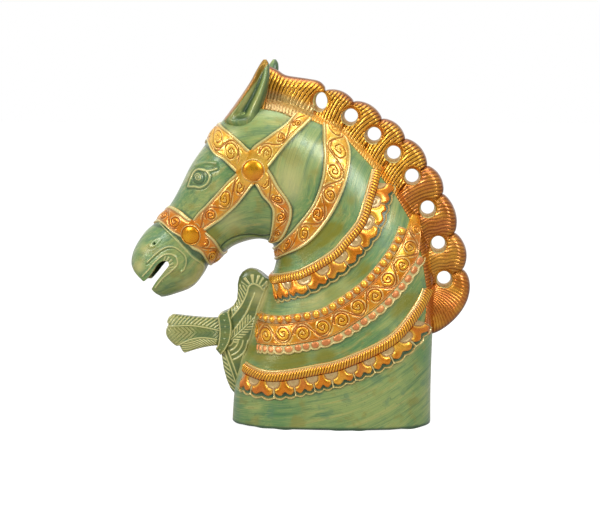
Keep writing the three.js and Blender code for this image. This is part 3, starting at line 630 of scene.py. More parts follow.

# Its paint: tan patches, some of them painted sheen, pale strips low on the front and back outlines,
# and painted shade under the collars, along the straps and along the foot
# Tan: wiped patches, some of them painted sheen, and pale strips low on the front and back outlines
tan = patches(x, z, TAN_AND_SHEEN) + 0.5 * rise(0.5, 0.15, a) * rise(8, 6, u)
tan += 0.4 * rise(2.7, 3.0, a) * rise(3.5, 2.5, u)
# Painted shade below each collar, where the tan is taken away
for guide, low, high, amount in SHADOWS:
    d, along, side = to_line(x, z, spline(guide, 40))
    below = rise(low - 2, low, d) * rise(high + 4.5, high, d) * (side < 0) * rise(0, 3, along)
    dark = np.maximum(dark, amount * below)
    tan = tan * (1 - below)
# Painted shade on the skin beside the edges of each strap
for edge in (*NOSEBAND, *BROWBAND, *CHEEK, *THROAT_STRAP, *THROAT_COLLAR):
    dark = np.maximum(dark, 0.75 * ridge(to_line(x, z, spline(edge, 30))[0], 2.3))
# Painted shade along the foot, where it stands on the paper
dark = np.maximum(dark, 0.95 * rise(4.0, 1.5, z))
olive = np.clip(patches(x, z, OLIVE), 0, 0.5) + 1.2 * np.clip(patches(x, z, GILDED), 0, 0.9)
tan = np.clip(tan, 0, 0.7) * (1 - 1.6 * np.clip(olive, 0, 0.5))
paint_outer = np.stack([np.maximum(cream, tan), dark, np.clip(olive, 0, 0.95)], -1)

# Its brush strokes: along the middle collar on the neck, and along the slices on the head
round_steps, long_steps = (np.linalg.norm(np.diff(base, axis=k), axis=2) for k in (1, 0))
round_mm = np.concatenate([np.zeros((rows, 1)), np.cumsum(round_steps, 1)], 1)
long_mm = np.concatenate([np.zeros((1, COLUMNS)), np.cumsum(long_steps, 0)], 0)
head = (to_line(x, z, HEAD_BORDER)[2] > 0).astype(float)
d, along, side = to_line(x, z, spline([(-60, 82), *MIDDLE_GUIDE, (94, 190)], 60))
brush_outer = np.stack([along * (1 - head) + long_mm * head, d * side * (1 - head) + round_mm * head,
                        40 * head], -1)

# The inner skin lies one wall inside the outer one, and flat faces shut the seam, the rim and the lips
hollow_rows = int(np.searchsorted(u_rows, HOLLOW_END))
v, b = np.meshgrid(u_rows[:hollow_rows], np.linspace(0, math.pi, INNER_COLUMNS), indexing="ij")
inner = skin(v, b, -WALL)
inner[:, [0, -1], 1] = 0.0
inner[0, :, 2] = 0.0
start = rows * COLUMNS
far = COLUMNS - 1
near_in = INNER_COLUMNS - 1
i = np.arange(hollow_rows - 1)
o, n = i * COLUMNS, start + i * INNER_COLUMNS
seam_front = np.stack([o + COLUMNS, o, n, n + INNER_COLUMNS], -1)
seam_back = np.stack([o + far, o + COLUMNS + far, n + INNER_COLUMNS + near_in, n + near_in], -1)
o = np.arange(hollow_rows, rows - 1) * COLUMNS
seam_solid = np.stack([o + COLUMNS, o, o + far, o + COLUMNS + far], -1)
h = hollow_rows - 1
n = start + h * INNER_COLUMNS
hollow_step = [(h + 1) * COLUMNS, h * COLUMNS, n, n + near_in, h * COLUMNS + far, (h + 1) * COLUMNS + far]
hollow_cap = [*range(n, n + INNER_COLUMNS)]
lip_cap = [*range(rows * COLUMNS - 1, (rows - 1) * COLUMNS - 1, -1)]
foot = [*range(COLUMNS), *range(start + near_in, start - 1, -1)]
faces = [*grid_faces(rows, COLUMNS)[:, ::-1].tolist(), *grid_faces(hollow_rows, INNER_COLUMNS, start).tolist(),
         *seam_front.tolist(), *seam_back.tolist(), *seam_solid.tolist(), hollow_step, hollow_cap, lip_cap, foot]
points = np.concatenate([outer.reshape(-1, 3), inner.reshape(-1, 3)])
paint = np.concatenate([paint_outer.reshape(-1, 3), np.tile([0.0, 0.85, 0.0], (inner.size // 3, 1))])
brushed = np.concatenate([brush_outer.reshape(-1, 3), inner.reshape(-1, 3)])
left_half = casting("bust_left", points, faces, paint, green, ("body_left_half",), brushed)


def tube_faces(rings, sides, start=0):
    """Faces of a closed bar made of rings of points, with both ends shut."""
    i, j = np.meshgrid(np.arange(rings - 1), np.arange(sides), indexing="ij")
    a, b = start + i * sides + j, start + i * sides + (j + 1) % sides
    faces = np.stack([a, b, b + sides, a + sides], -1).reshape(-1, 4).tolist()
    last = start + (rings - 1) * sides
    return [*faces, [*range(start + sides - 1, start - 1, -1)], [*range(last, last + sides)]]


MOUTH_SIDES = 72
slot_ring, through_ring = (spline(line, MOUTH_SIDES, closed=True) for line in (MOUTH, MOUTH_THROUGH))
cutter = [np.insert(ring, 1, y, axis=1) for y, ring in
          ((-60, slot_ring), (-7, slot_ring), (-5, through_ring), (20, through_ring))]
# The slot's walls are painted near black: painted shade inside the mouth
cut_away(left_half, np.concatenate(cutter), tube_faces(4, MOUTH_SIDES), (0.0, 1.0, 0.0))
cutter = [np.insert(np.array(LIP_TIPS, float), 1, y, axis=1) for y in (-60, 20)]
cut_away(left_half, np.concatenate(cutter), tube_faces(2, len(LIP_TIPS)), (0.3, 0.2, 0.0))
mirrored_copy(left_half, "bust_right", ("body_right_half",))


# The ears are pricked, pointed cones cast with the skull, whose front edges go on from the forehead.
# Each has a long hollow on its outer side, with a painted highlight in tan on its lit wall and painted
# shade within it and over the back of the ear, and a gilt front rim.
EAR_RINGS = [
    # height, front edge, back edge, middle across, half depth
    (243, -55, -35, -18, 11), (249, -60.5, -32, -18, 15), (255, -57, -30.4, -18, 14.5), (262, -51.8, -28.4, -18.5, 13),
    (272, -44.6, -25.2, -19.5, 10), (281, -38.6, -23.4, -20.5, 7.2), (289, -34.2, -23, -21, 4.8),
    (295, -30.6, -23.6, -21.3, 2.8), (298.4, -28, -25.6, -21.5, 0.9),
]
FAR_EAR_LEAN = 4.0
EAR_ROWS, EAR_SIDES = 110, 120


def ear(name, lean, replaces):
    """Closed loft: rings at rising heights, each an ellipse between the front and back edge, dented
    toward the outer side where the hollow is."""
    z, front, back, middle, deep = spline(EAR_RINGS, EAR_ROWS).T[:, :, None]
    z = z[:, 0]
    turn = np.linspace(-math.pi, math.pi, EAR_SIDES, endpoint=False)
    zz, tt = np.meshgrid(z, turn, indexing="ij")
    degrees = np.degrees(tt)
    inside = rise(249, 256, zz) * rise(296, 288, zz)
    dent = ridge(degrees - 6, 38) * inside
    r = 1 - 0.66 * dent + 0.12 * ridge(degrees - 50, 15) * rise(250, 262, zz)
    x = (back + front) / 2 - (back - front) / 2 * np.sin(tt) * (1 - 0.1 * dent) + lean * rise(250, 298, zz)
    y = middle - deep * np.cos(tt) * r
    # Painted highlight: tan on the lit wall of the hollow
    lens = 0.8 * ridge((degrees - 24) / 11, 1.0) ** 0.4 * rise(253, 262, zz) * rise(286, 272, zz)
    rim_from = np.interp(zz, (250, 272, 285, 291, 296), (50, 37, 16, -8, -60))
    gilt_rim = rise(rim_from - 5, rim_from + 3, degrees) * rise(112, 96, degrees) * rise(246, 252, zz)
    # Painted shade in the hollow and over the back of the ear; darker round the base, and a dark line by the rim
    dark = np.maximum.reduce([0.95 * ridge(degrees, 22) * inside, 0.9 * ridge(degrees - 44, 5) * inside,
                              0.9 * ridge(zz - 251.5, 4) * ridge(degrees, 60), 0.72 * rise(-18, -60, degrees)])
    pale = 0.6 * ridge(degrees - rim_from + 6, 5) * inside
    paint = np.stack([np.maximum(lens * 0.9, pale), np.maximum(dark * (1 - lens), 0.3 * gilt_rim), gilt_rim], -1)
    brush = np.stack([zz, tt * 12.0, 0 * zz], -1)
    points = np.stack([x, y, zz], -1).reshape(-1, 3)
    return casting(name, points, tube_faces(EAR_ROWS, EAR_SIDES), paint.reshape(-1, 3), green, (replaces,),
                   brush.reshape(-1, 3))


ear("near_ear", 0.0, "left_ear")
far_ear = ear("far_ear", FAR_EAR_LEAN, "right_ear")
far_ear.data.transform(Matrix.Scale(-1, 4, (0, 1, 0)))
far_ear.data.flip_normals()


# The crest is a pierced plate of hair along the back of the neck: a forelock between the ears and
# eight rolled lobes, each with combed strands and a round bore whose rim is left smooth. Gilt.
NOTCHES = np.array([(21, 273), (44, 264), (67, 250), (86, 234), (104, 212), (117, 189), (127, 157), (134, 127)], float)
BORES = np.array([(17, 265), (42, 253), (61, 238), (77, 223), (92, 204), (105, 178), (114, 149), (119, 120)], float)
BORE_RADIUS = np.array([6.6, 5.9, 5.9, 5.9, 5.9, 5.9, 5.9, 5.9])
ROOTS = np.array([(9, 250), (33, 240), (50, 222), (65, 206), (79, 188), (91, 168), (99, 143), (104, 113)], float)
LOBES = len(BORES)
CREST_END = (108.0, 73.0)
LAST_ROOT = (103.0, 90.0)
LOBE_BULGE = [4.5, 5, 5, 5.5, 5.5, 6, 6.5, 15.4]
FORELOCK_TOP = [(-27, 294), (-18, 289.5), (-11, 285.5), (5, 283), (15, 281), (20, 277), (21, 273)]
FORELOCK_ROOT = [(-32, 259), (-15, 256), (-2, 251), (9, 250)]
COMBED = np.array([50, 48, 30, 32, 26, 6, -2, -6, 0])
TUFT_PITCH = np.array([3.0, 2.9, 2.9, 2.9, 2.9, 2.9, 2.9, 2.9, 2.9])
FAN_PITCH = 0.08
ROOT_LAP = np.array([(-1.1, -2.2)])


def lobe_edge(start, end, bulge, skew, count):
    """Scalloped edge of one lobe: the chord plus bulge times a rounded sine, square to it."""
    t = np.linspace(0, 1, count)
    chord = np.hypot(*(end - start))
    out = bulge * np.clip(np.sin(math.pi * t ** skew), 0, 1) ** 0.65
    x = start[0] + (end[0] - start[0]) * t + (start[1] - end[1]) * out / chord
    z = start[1] + (end[1] - start[1]) * t + (end[0] - start[0]) * out / chord
    return np.stack([x, z], -1)


def gilt(name, wash, gold, bright, roughness, metallic=0.6, combed=False):
    """Burnished gold whose tone varies by noise, with a painted highlight where the paint attribute's blue says
    that the relief stands high, the wash colour in the cuts and painted shade (green) and cream on the lines, in places
    a painted highlight (red).
    A combed one has a groove wherever the brush attribute's x is a whole number, as strong as its y, and a painted
    highlight along the top of each strand."""
    material, node, link, place, brush, paint = finish_of(name)
    cloud = noise_field(node, link, place, 60.0, 4.0)
    blush = noise_field(node, link, place, 36.0, 3.0)
    speck = noise_field(node, link, place, 430.0, 4.0)
    colour = blend(node, link, gold, bright, cloud, 0.5, 0.45, 0.68)
    colour = blend(node, link, colour, (0.64, 0.165, 0.035), blush, 0.6, 0.50, 0.66)
    colour = blend(node, link, colour, (0.30, 0.085, 0.020), speck, 0.2, 0.52, 0.70)
    # Painted highlight where the paint's blue says that the relief stands high
    colour = blend(node, link, colour, bright, paint["Blue"], 0.6)
    relief = speck
    if combed:
        comb = node("ShaderNodeSeparateXYZ")
        link(brush, comb.inputs[0])
        fold = node("ShaderNodeMath", operation="PINGPONG")
        fold.inputs[1].default_value = 0.5
        link(comb.outputs["X"], fold.inputs[0])
        groove = node("ShaderNodeMath", operation="MULTIPLY")
        ranged(node, link, fold.outputs[0], groove.inputs[0], 0.0, 1.0, 0.24, 0.05)
        link(comb.outputs["Y"], groove.inputs[1])
        # Painted highlight along the top of each strand
        colour = blend(node, link, colour, (0.98, 0.50, 0.09), fold.outputs[0], 0.45, 0.34, 0.5)
        colour = blend(node, link, colour, wash, groove.outputs[0], 0.92)
        fine_grain = node("ShaderNodeMath", operation="MULTIPLY")
        fine_grain.inputs[1].default_value = 0.3
        link(speck, fine_grain.inputs[0])
        strand = node("ShaderNodeMath", operation="SUBTRACT")
        link(fine_grain.outputs[0], strand.inputs[0])
        link(groove.outputs[0], strand.inputs[1])
        relief = strand.outputs[0]
    colour = blend(node, link, colour, wash, paint["Green"], 0.92)
    colour = blend(node, link, colour, CREAM, paint["Red"], 0.92)
    strength, distance = (0.3, 0.0012) if combed else (0.2, 0.0004)
    shader = lacquered(node, link, colour, relief, strength, distance, 0.15, 0.14)
    painted = highest(node, link, paint["Red"], paint["Green"])
    ranged(node, link, painted, shader.inputs["Metallic"], metallic, 0.2)
    ranged(node, link, speck, shader.inputs["Roughness"], roughness - 0.07, roughness + 0.12, 0.3, 0.7)
    return material


def plate_faces(rows, columns):
    """Faces of a closed plate: a near grid, a far grid after it, and a wall round their border."""
    count = rows * columns
    near = grid_faces(rows, columns)
    grid = np.arange(count).reshape(rows, columns)
    border = np.concatenate([grid[0], grid[1:, -1], grid[-1, -2::-1], grid[-2:0:-1, 0]])
    after = np.roll(border, -1)
    wall = np.stack([after, border, border + count, after + count], -1)
    return [*near.tolist(), *(near[:, ::-1] + count).tolist(), *wall.tolist()]


crest_gold = gilt("crest_gold", (0.075, 0.022, 0.006), (0.50, 0.135, 0.006), (1.0, 0.54, 0.045), 0.28, 0.74,
                  combed=True)

# The plate reaches from its root along the neck to its edge, lobe by lobe. The forelock is lobe 0.
samples = [84] + [47] * (LOBES - 1) + [128]
tops, roots = [spline(FORELOCK_TOP, samples[0])], [spline(FORELOCK_ROOT, samples[0])]
for k in range(LOBES):
    last = k == LOBES - 1
    end, root_end = (np.array(CREST_END), np.array(LAST_ROOT)) if last else (NOTCHES[k + 1], ROOTS[k + 1])
    tops.append(lobe_edge(NOTCHES[k], end, LOBE_BULGE[k], 0.8 if last else 1.0, samples[k + 1])[1:])
    t = np.linspace(0, 1, samples[k + 1])[1:, None]
    roots.append(ROOTS[k] * (1 - t) + root_end * t)
top_line, root_line = np.concatenate(tops), np.concatenate(roots) + ROOT_LAP
CREST_COLUMNS = 78
t = np.linspace(0, 1, CREST_COLUMNS)[None, :]
x = root_line[:, :1] * (1 - t) + top_line[:, :1] * t
z = root_line[:, 1:] * (1 - t) + top_line[:, 1:] * t

# Where a point lies across its lobe: between two borders, each from a notch over a bore to the root
borders = [[(-32, 294), (-34, 275), (-38, 252)]]
borders += [[tuple(NOTCHES[k]), tuple(BORES[k]), tuple(ROOTS[k] + 1.4 * ROOT_LAP[0])] for k in range(LOBES)]
borders += [[(110.0, 70.0), (104.0, 84.0), (98.0, 96.0)]]
to_border = []
for k, line in enumerate(borders):
    d = to_line(x, z, line)[0]
    if 1 <= k <= LOBES:
        bore = np.hypot(x - BORES[k - 1, 0], z - BORES[k - 1, 1])
        d = np.minimum(d, np.maximum(bore - BORE_RADIUS[k - 1] - 1.6, 0.0))
    to_border.append(d)
to_border = np.array(to_border)
lobe = np.repeat(np.arange(LOBES + 1), [samples[0]] + [n - 1 for n in samples[1:]])[:, None]
lobe = lobe * np.ones((1, CREST_COLUMNS), int)
first = np.take_along_axis(to_border, lobe[None], 0)[0]
width = np.maximum(first + np.take_along_axis(to_border, lobe[None] + 1, 0)[0], 0.5)
share = first / width

# Its strands: parallel and slightly curved, laid at one slant on each lobe, and a fan on the last
hubs = np.concatenate([[(2.0, 276.0)], (NOTCHES[:-1] + NOTCHES[1:]) / 2, [(94.0, 110.0)]])
dx, dz = x - hubs[lobe, 0], z - hubs[lobe, 1]
lay = np.radians(COMBED[lobe])
reach = dx * np.cos(lay) + dz * np.sin(lay)
off = dz * np.cos(lay) - dx * np.sin(lay) + reach ** 2 / 80 + 0.5 * np.sin(reach * 0.5) * (lobe > 5)
from_hub = np.hypot(dx, dz)
fan = lobe == LOBES
phase = np.where(fan, (np.arctan2(dz, dx) + 0.015 * from_hub) / FAN_PITCH, off / TUFT_PITCH[lobe])
spacing = np.where(fan, from_hub * FAN_PITCH, TUFT_PITCH[lobe])
strand = ridge(np.abs(phase - np.round(phase)) * spacing, np.clip(spacing * 0.34, 0.3, 0.8))

# Half its thickness: rolled at the edge, full in the middle of a lobe, and lapped over the neck
bore = np.min([np.hypot(x - bx, z - bz) - r for (bx, bz), r in zip(BORES, BORE_RADIUS)], axis=0)
edge = np.hypot(x - top_line[:, :1], z - top_line[:, 1:])
root = np.hypot(x - root_line[:, :1], z - root_line[:, 1:]) - np.hypot(*ROOT_LAP[0])
rolled = np.sqrt(np.clip(1 - (1 - np.clip(edge / np.where(lobe == 0, 11.0, 7.5), 0, 1)) ** 2, 0, 1))
pillow = np.clip(np.sin(math.pi * np.clip(share, 0, 1)), 0, 1) ** np.where(lobe == 0, 0.25, 0.35)
half = 1.0 + rolled * (3.6 + np.where(lobe == 0, 6.5, 5.4) * pillow)
picks = np.linspace(0, len(root_line) - 1, 40)
guess = np.interp(np.arange(len(root_line)), picks, nearest_slice(root_line[picks.astype(int)]))
on_skin = -skin(*side_places(x, z, guess[:, None]))[..., 1]
lap = on_skin + 1.1 * rise(-0.6, 1.2, root) - 1.2 * rise(0.6, -1.2, root)
half = np.maximum(half, np.where(root < 12, lap, 0))

# Relief and paint: smooth rims round the bores, combed lines, a bare forelock root and a cream fringe,
# painted shade toward each lobe's rolled edge and a painted highlight over its middle and on the bore rims;
# the lower lobes are darker
rim = ridge(bore - 1.4, 1.5)
crease = ridge(np.minimum(first, width - first), 0.8) * (edge < root)
combing = rise(1.9, 3.0, bore) * rise(0.8, np.where(lobe == 0, 5.0, 2.2), edge)
combed = np.maximum(strand, crease) * combing
bare = rise(19, 11, root) * (lobe == 0) * rise(-31, -24, x)
fringe = rise(-1.0, 0.2, root) * rise(7.0, 4.0, root) * ((lobe > 0) & (lobe < 4))
lower = rise(3.5, 5.5, lobe.astype(float))
depth = (1 - 0.45 * lower) * np.where(fan, 0.5 * rise(10, 20, from_hub), 1)
half += 0.9 * rim * rise(-0.5, 0.5, bore) + 0.35 - 0.75 * combed * depth
root_run = np.concatenate([[0], np.cumsum(np.hypot(*np.diff(root_line, axis=0).T))])[:, None]
tick = 0.5 + 0.5 * np.cos(root_run / 1.45 * 2 * math.pi)
red = np.maximum(fringe * tick * 0.6, 0.6 * bare * (0.75 + 0.25 * np.sin(x * 1.7) * np.sin(z * 2.3)))
# Painted shade toward the rolled outer edge of each lobe, besides the crease, the fringe and the bare root
dark = np.maximum.reduce([0.5 * crease * combing, 0.7 * rise(4.5, 0.5, edge),
                          0.32 * rise(11, 3, edge) * (lobe > 0), 0.5 * fringe * (1 - tick), 0.5 * bare,
                          (0.33 - 0.15 * fan) * lower])
# Painted highlight over the middle of each lobe and on the bore rims
blue = rise(0.2, 0.8, pillow) * rise(1.0, 6.0, edge) * (1 - 0.85 * lower) * (1 - bare) + 0.4 * rim
comb = np.stack([phase, combing * depth * (1 - 0.9 * bare) * (1 - fringe), 0 * phase], -1).reshape(-1, 3)
paint = np.clip(np.stack([red, dark, blue], -1).reshape(-1, 3), 0, 1)
points = np.concatenate([np.stack([x, -half, z], -1).reshape(-1, 3), np.stack([x, half, z], -1).reshape(-1, 3)])
crest = casting("crest", points, plate_faces(*x.shape), np.concatenate([paint, paint]), crest_gold, ("mane_crest",),
                np.concatenate([comb, comb]))

# Each bore flares toward both mouths and leans, so that its wall shows on one side: how far its
# mouths lie to the front and below. The first bore is narrower than it is high.
BORE_SIDES = 40
LEAN_FRONT = np.array([1.7, 0.8, 0.8, 0.5, -0.2, -0.1, -0.1, -0.3])
LEAN_DOWN = np.array([0.7, 1.0, 1.0, 1.1, 0.6, 0.9, 0.9, 0.9])
bore_y = np.array([-20.0, -9.0, -5.6, -2.4, 0.0, 2.4, 5.6, 9.0, 20.0])[:, None]
flare = np.array([3.4, 2.0, 1.2, 0.1, 0.0, 0.1, 1.2, 2.0, 3.4])[:, None]
slip = np.array([1.5, 1.2, 0.9, 0.0, 0.0, 0.0, 0.9, 1.2, 1.5])[:, None]
stretch = np.array([0.82] + [1.0] * (LOBES - 1))
turn = np.arange(BORE_SIDES) * 2 * math.pi / BORE_SIDES
cutters, faces = [], []
for (bx, bz), radius, front, down, narrow in zip(BORES, BORE_RADIUS, LEAN_FRONT, LEAN_DOWN, stretch):
    r = radius - 0.5 + flare
    ring = np.stack(np.broadcast_arrays(bx - slip * front + r * narrow * np.cos(turn) + (1 - narrow) * 6.0, bore_y,
                                        bz - slip * down + r / narrow ** 0.4 * np.sin(turn)), -1)
    faces += tube_faces(len(bore_y), BORE_SIDES, len(cutters) * ring.size // 3)
    cutters.append(ring.reshape(-1, 3))
cut_away(crest, np.concatenate(cutters), faces, (0.45, 0.3, 0.0))


# The plume on the chest is a tassel of three feathers, gathered in a cuff that is tied to a ruffled
# fan let into the neck. It is cast flat and patinated, with cream left on the chased lines.
FAN_HEIGHT = [18, 25, 32, 42, 49, 55, 62, 84, 91, 95, 100, 107, 113, 119, 123, 125.3, 126.3]
FAN_FRONT = [-53, -58.5, -61.5, -64.2, -65.2, -66, -66, -64, -60.5, -55.5, -52.6, -52, -52, -50.6, -48, -44.6, -42]
FAN_BACK = [-36, -36, -34, -32, -30, -28, -25, -18, -15, -14, -13, -12, -14, -28, -32.6, -36.6, -40]
RUFFLE = [(-58, 84), (-49, 95), (-44, 105), (-42, 111.5), (-38, 114), (-33, 112), (-30, 109)]
QUILL = [(-56, 73), (-45, 88), (-40, 99), (-37, 106)]
LEAF = [(-57, 67), (-48, 75), (-38, 85)]
SKIRT = [(-63, 57), (-58.5, 45), (-54, 33), (-51, 24)]
FLANGE = [(-26, 116), (-35, 92), (-41, 69), (-48, 49), (-50.5, 30), (-51, 18)]
TIP = [(-97, 54), (-99, 56), (-101.8, 61), (-104, 60.2), (-108, 63), (-112, 68), (-112.6, 73), (-110.6, 78.4),
       (-111.6, 80), (-110.2, 84), (-106.5, 87)]
TOP_QUILL = [(-66, 74), (-78, 76.6), (-92, 78.2), (-111, 77.2)]
LOW_QUILL = [(-69, 66.5), (-81, 68), (-92, 66), (-101, 61.5)]
CUFF_FRONT = [(-64.5, 89), (-67, 86), (-66, 75), (-67, 64), (-70, 58)]
CUFF_BACK = [(-58.5, 92), (-59, 89), (-57, 79), (-58, 68), (-62, 59), (-66.5, 53.5)]
SWIRL = (-61, 67)
FAN_HALF, TASSEL_HALF, CUFF_HALF, EDGE_HALF = 8.0, 6.2, 9.0, 0.3
FAN_COLUMNS, TASSEL_ROWS, TASSEL_COLUMNS, CUFF_ROWS, CUFF_COLUMNS = 90, 120, 90, 120, 34


def chased(distance, width):
    """A raised line: its height, and its cream paint."""
    return 0.55 * ridge(distance, width * 1.25), ridge(distance, width)


def barbs(x, z, spine, side, depth, pitch, slant):
    """Barbs of a feather on one side of its spine: slanting lines, pitch apart along it."""
    d, along, way = to_line(x, z, spine)
    zone = (way == side) * (along > 0) * (along < along.max())
    zone = zone * rise(0.8, 1.3, d) * rise(depth, depth - 1.2, d)
    phase = (along + slant * d) / pitch
    off = np.abs(phase - np.round(phase)) * pitch / math.hypot(1, slant)
    return ridge(off, 0.78) * zone


def edge_round(t, power):
    """Thickness across a plate, from edge to edge: 1 in the middle and rounded off to 0 at both."""
    return np.clip(1 - np.abs(2 * t - 1) ** power, 0, 1) ** (1 / power)


plume_points, plume_paint, plume_faces = [], [], []


def add_shell(x, z, half, height, cream, dark, tan=0.0):
    """Adds one closed plate to the plume, with the same relief on both faces."""
    start = sum(len(part) for part in plume_points)
    y = half + height
    shell = np.concatenate([np.stack([x, -y, z], -1).reshape(-1, 3), np.stack([x, y, z], -1).reshape(-1, 3)])
    paint = np.stack([np.maximum(cream, tan), dark * (1 - cream), 0.2 * (1 - cream)], -1).reshape(-1, 3)
    plume_points.append(shell)
    plume_paint.extend([paint, paint])
    plume_faces.extend([[k + start for k in face] for face in turned_outward(shell, plate_faces(*x.shape))])


# The fan, with its quill, its leaf, the ruffle behind them and the flange along the neck
z_rows = np.concatenate([np.linspace(18, 110, 170, endpoint=False),
                         110 + 16.3 * np.sin(np.linspace(0, math.pi / 2, 50))])
t = np.linspace(0, 1, FAN_COLUMNS)
bunched = 0.35 * (1 - np.cos(math.pi * t)) / 2 + 0.65 * t
z, t = np.meshgrid(z_rows, bunched, indexing="ij")
x = np.interp(z, FAN_HEIGHT, FAN_FRONT) * (1 - t) + np.interp(z, FAN_HEIGHT, FAN_BACK) * t
ruffle, quill, leaf, skirt, flange = (spline(line, 30) for line in (RUFFLE, QUILL, LEAF, SKIRT, FLANGE))
height = np.zeros(x.shape)
cream = np.zeros(x.shape)
for line, width in ((ruffle, 1.1), (quill, 0.95), (leaf, 0.8), (skirt, 0.95), (skirt + [3.2, 0.6], 0.95),
                    (flange, 0.8)):
    up, colour = chased(to_line(x, z, line)[0], width)
    height += up
    cream = np.maximum(cream, colour)
for line, *barbing in ((ruffle[:15], 1, 8.5, 3.4, -0.9), (ruffle[14:], 1, 8.5, 2.5, 0.0), (leaf, 1, 6, 3.2, -1.1),
                       (leaf, -1, 5.5, 3.2, -1.1), (skirt, -1, 9, 4.8, 1.5)):
    lines = barbs(x, z, line, *barbing)
    height += 0.5 * lines
    cream = np.maximum(cream, np.clip(1.4 * lines, 0, 1))
swirl = np.hypot(x - SWIRL[0], z - SWIRL[1])
turn = np.arctan2(z - SWIRL[1], x - SWIRL[0])
arcs = ridge(np.abs((swirl / 4.0) % 1 - 0.5) * 4.0, 0.85) * (swirl > 5.5) * (swirl < 19)
arcs = arcs * rise(-1.35, -1.2, turn) * rise(0.05, -0.1, turn)
height += 0.5 * arcs
cream = np.maximum(cream, np.clip(1.3 * arcs, 0, 1))
crown = np.clip(1 - ((z - 110) / 16.35).clip(0, 1) ** 3, 0, 1) ** (1 / 3)
off_flange, _, side = to_line(x, z, flange)
behind = rise(-0.5, 1.0, off_flange * side)
worn = 0.06 + 0.5 * behind + 0.5 * np.exp(-((x + 34) ** 2 + (z - 104) ** 2) / 60) + 0.35 * rise(121, 126, z)
half = FAN_HALF * edge_round(t * 0.5, 3.0) * crown + EDGE_HALF
add_shell(x, z, half, height, cream, 0.60 * (1 - cream) * (1 - behind), worn)

# The tassel, drawn together from its ragged tip over a waist to where the cuff gathers it
tip = spline(TIP, TASSEL_COLUMNS)
t = np.linspace(0, 1, TASSEL_COLUMNS)
waist = np.stack([np.full(TASSEL_COLUMNS, -76.0), 60.0 + 24.4 * t], -1)
gathered = np.stack([np.full(TASSEL_COLUMNS, -61.0), 60.0 + 26.0 * t], -1)
s = np.linspace(0, 1, TASSEL_ROWS)[:, None, None]
sheet = tip * (1 - s) * (1 - 2 * s) + waist * 4 * s * (1 - s) + gathered * s * (2 * s - 1)
x, z = sheet[..., 0], sheet[..., 1]
top_quill, low_quill = spline(TOP_QUILL, 24), spline(LOW_QUILL, 24)
off_top, _, above = to_line(x, z, top_quill)
off_low, _, below = to_line(x, z, low_quill)
top_up, top_cream = chased(off_top, 0.9)
low_up, low_cream = chased(off_low, 0.9)
barbed = np.maximum(barbs(x, z, top_quill, -1, 12, 3.3, 0.9), barbs(x, z, low_quill, 1, 12, 3.4, 1.7))
chevron = np.abs(((x + 1.1 * np.abs(z - 72.5)) / 3.6) % 1 - 0.5) * 3.6 - 1.2
worn_middle = 0.25 + 0.75 * (rise(-74, -70, x) + rise(-84, -90, x))
between_quills = rise(0.8, 1.4, off_top) * rise(0.8, 1.4, off_low) * (above > 0) * (below < 0)
chevron = ridge(chevron, 0.55) * worn_middle * between_quills * rise(-64, -70, x)
hem = ridge(to_line(x, z, tip)[0] - 0.8, 0.8)
cream = np.maximum.reduce([top_cream, low_cream, np.clip(1.3 * barbed, 0, 1), 0.95 * chevron, 0.8 * hem])
s = s[..., 0]
half = TASSEL_HALF * edge_round(t, 3.5)[None, :] * np.clip(1 - (1 - s / 0.09).clip(0, 1) ** 2.5, 0, 1) ** 0.4
height = (top_up + low_up + 0.45 * barbed + 0.4 * chevron) * rise(0, 0.03, s)
add_shell(x, z, half + EDGE_HALF, height, cream, 0.5 * (1 - cream), 0.3 * rise(-94, -108, x))

# The cuff between them, with a row of pearls along its middle
cuff_front, cuff_back = spline(CUFF_FRONT, CUFF_ROWS), spline(CUFF_BACK, CUFF_ROWS)
t = np.linspace(-0.12, 1.12, CUFF_COLUMNS)[None, :, None]
sheet = cuff_front[:, None] * (1 - t) + cuff_back[:, None] * t
x, z = sheet[..., 0], sheet[..., 1]
up, cream = chased(np.minimum(to_line(x, z, cuff_front)[0], to_line(x, z, cuff_back)[0]), 0.95)
d, along, _ = to_line(x, z, (cuff_front + cuff_back) / 2)
dot = np.hypot(d, np.abs((along / 5.2) % 1 - 0.5) * 5.2)
cream = np.maximum(cream, 0.6 * ridge(dot, 1.1))
lengthwise = edge_round(np.linspace(0, 1, CUFF_ROWS), 4.0)[:, None]
crosswise = edge_round(np.linspace(0, 1, CUFF_COLUMNS), 8.0)[None, :]
half = CUFF_HALF * lengthwise * crosswise + EDGE_HALF
add_shell(x, z, half, up + 0.6 * ridge(dot, 1.2), cream, 0.45 * (1 - cream))
points = np.concatenate(plume_points)
casting("plume", points, plume_faces, np.concatenate(plume_paint), green, ("chest_plume",), points)


# The bridle is of flat brass straps, gilt and chased with a scroll vine between two cream lines:
# noseband, browband, and on each cheek one strap from the noseband to the crown and one down to the
# throat. Where they cross, the ground between them is left plain under a domed rosette.
SCROLL = (0.21, 0.078, 0.014)

STRAP_SINK = 1.0

strap_gold = gilt("strap_gold", SCROLL, (0.74, 0.205, 0.005), (1.0, 0.62, 0.050), 0.25)


def edge_places(edge, count, start=None, end=None):
    """Slice and angle along an edge given in side elevation. An end may lie on an outline, at the
    slice of the outline point nearest to it."""
    edge = np.asarray(edge, float)
    u, a = side_places(edge[:, 0], edge[:, 1], nearest_slice(edge))
    for k, angle in ((0, start), (-1, end)):
        if angle is not None:
            row = np.linspace(0, LAST, FINE_SLICES)
            p = skin(row, np.full(row.shape, angle))
            u[k], a[k] = row[np.argmin(np.hypot(p[:, 0] - edge[k, 0], p[:, 2] - edge[k, 1]))], angle
    return spline(np.stack([u, a], -1), count)


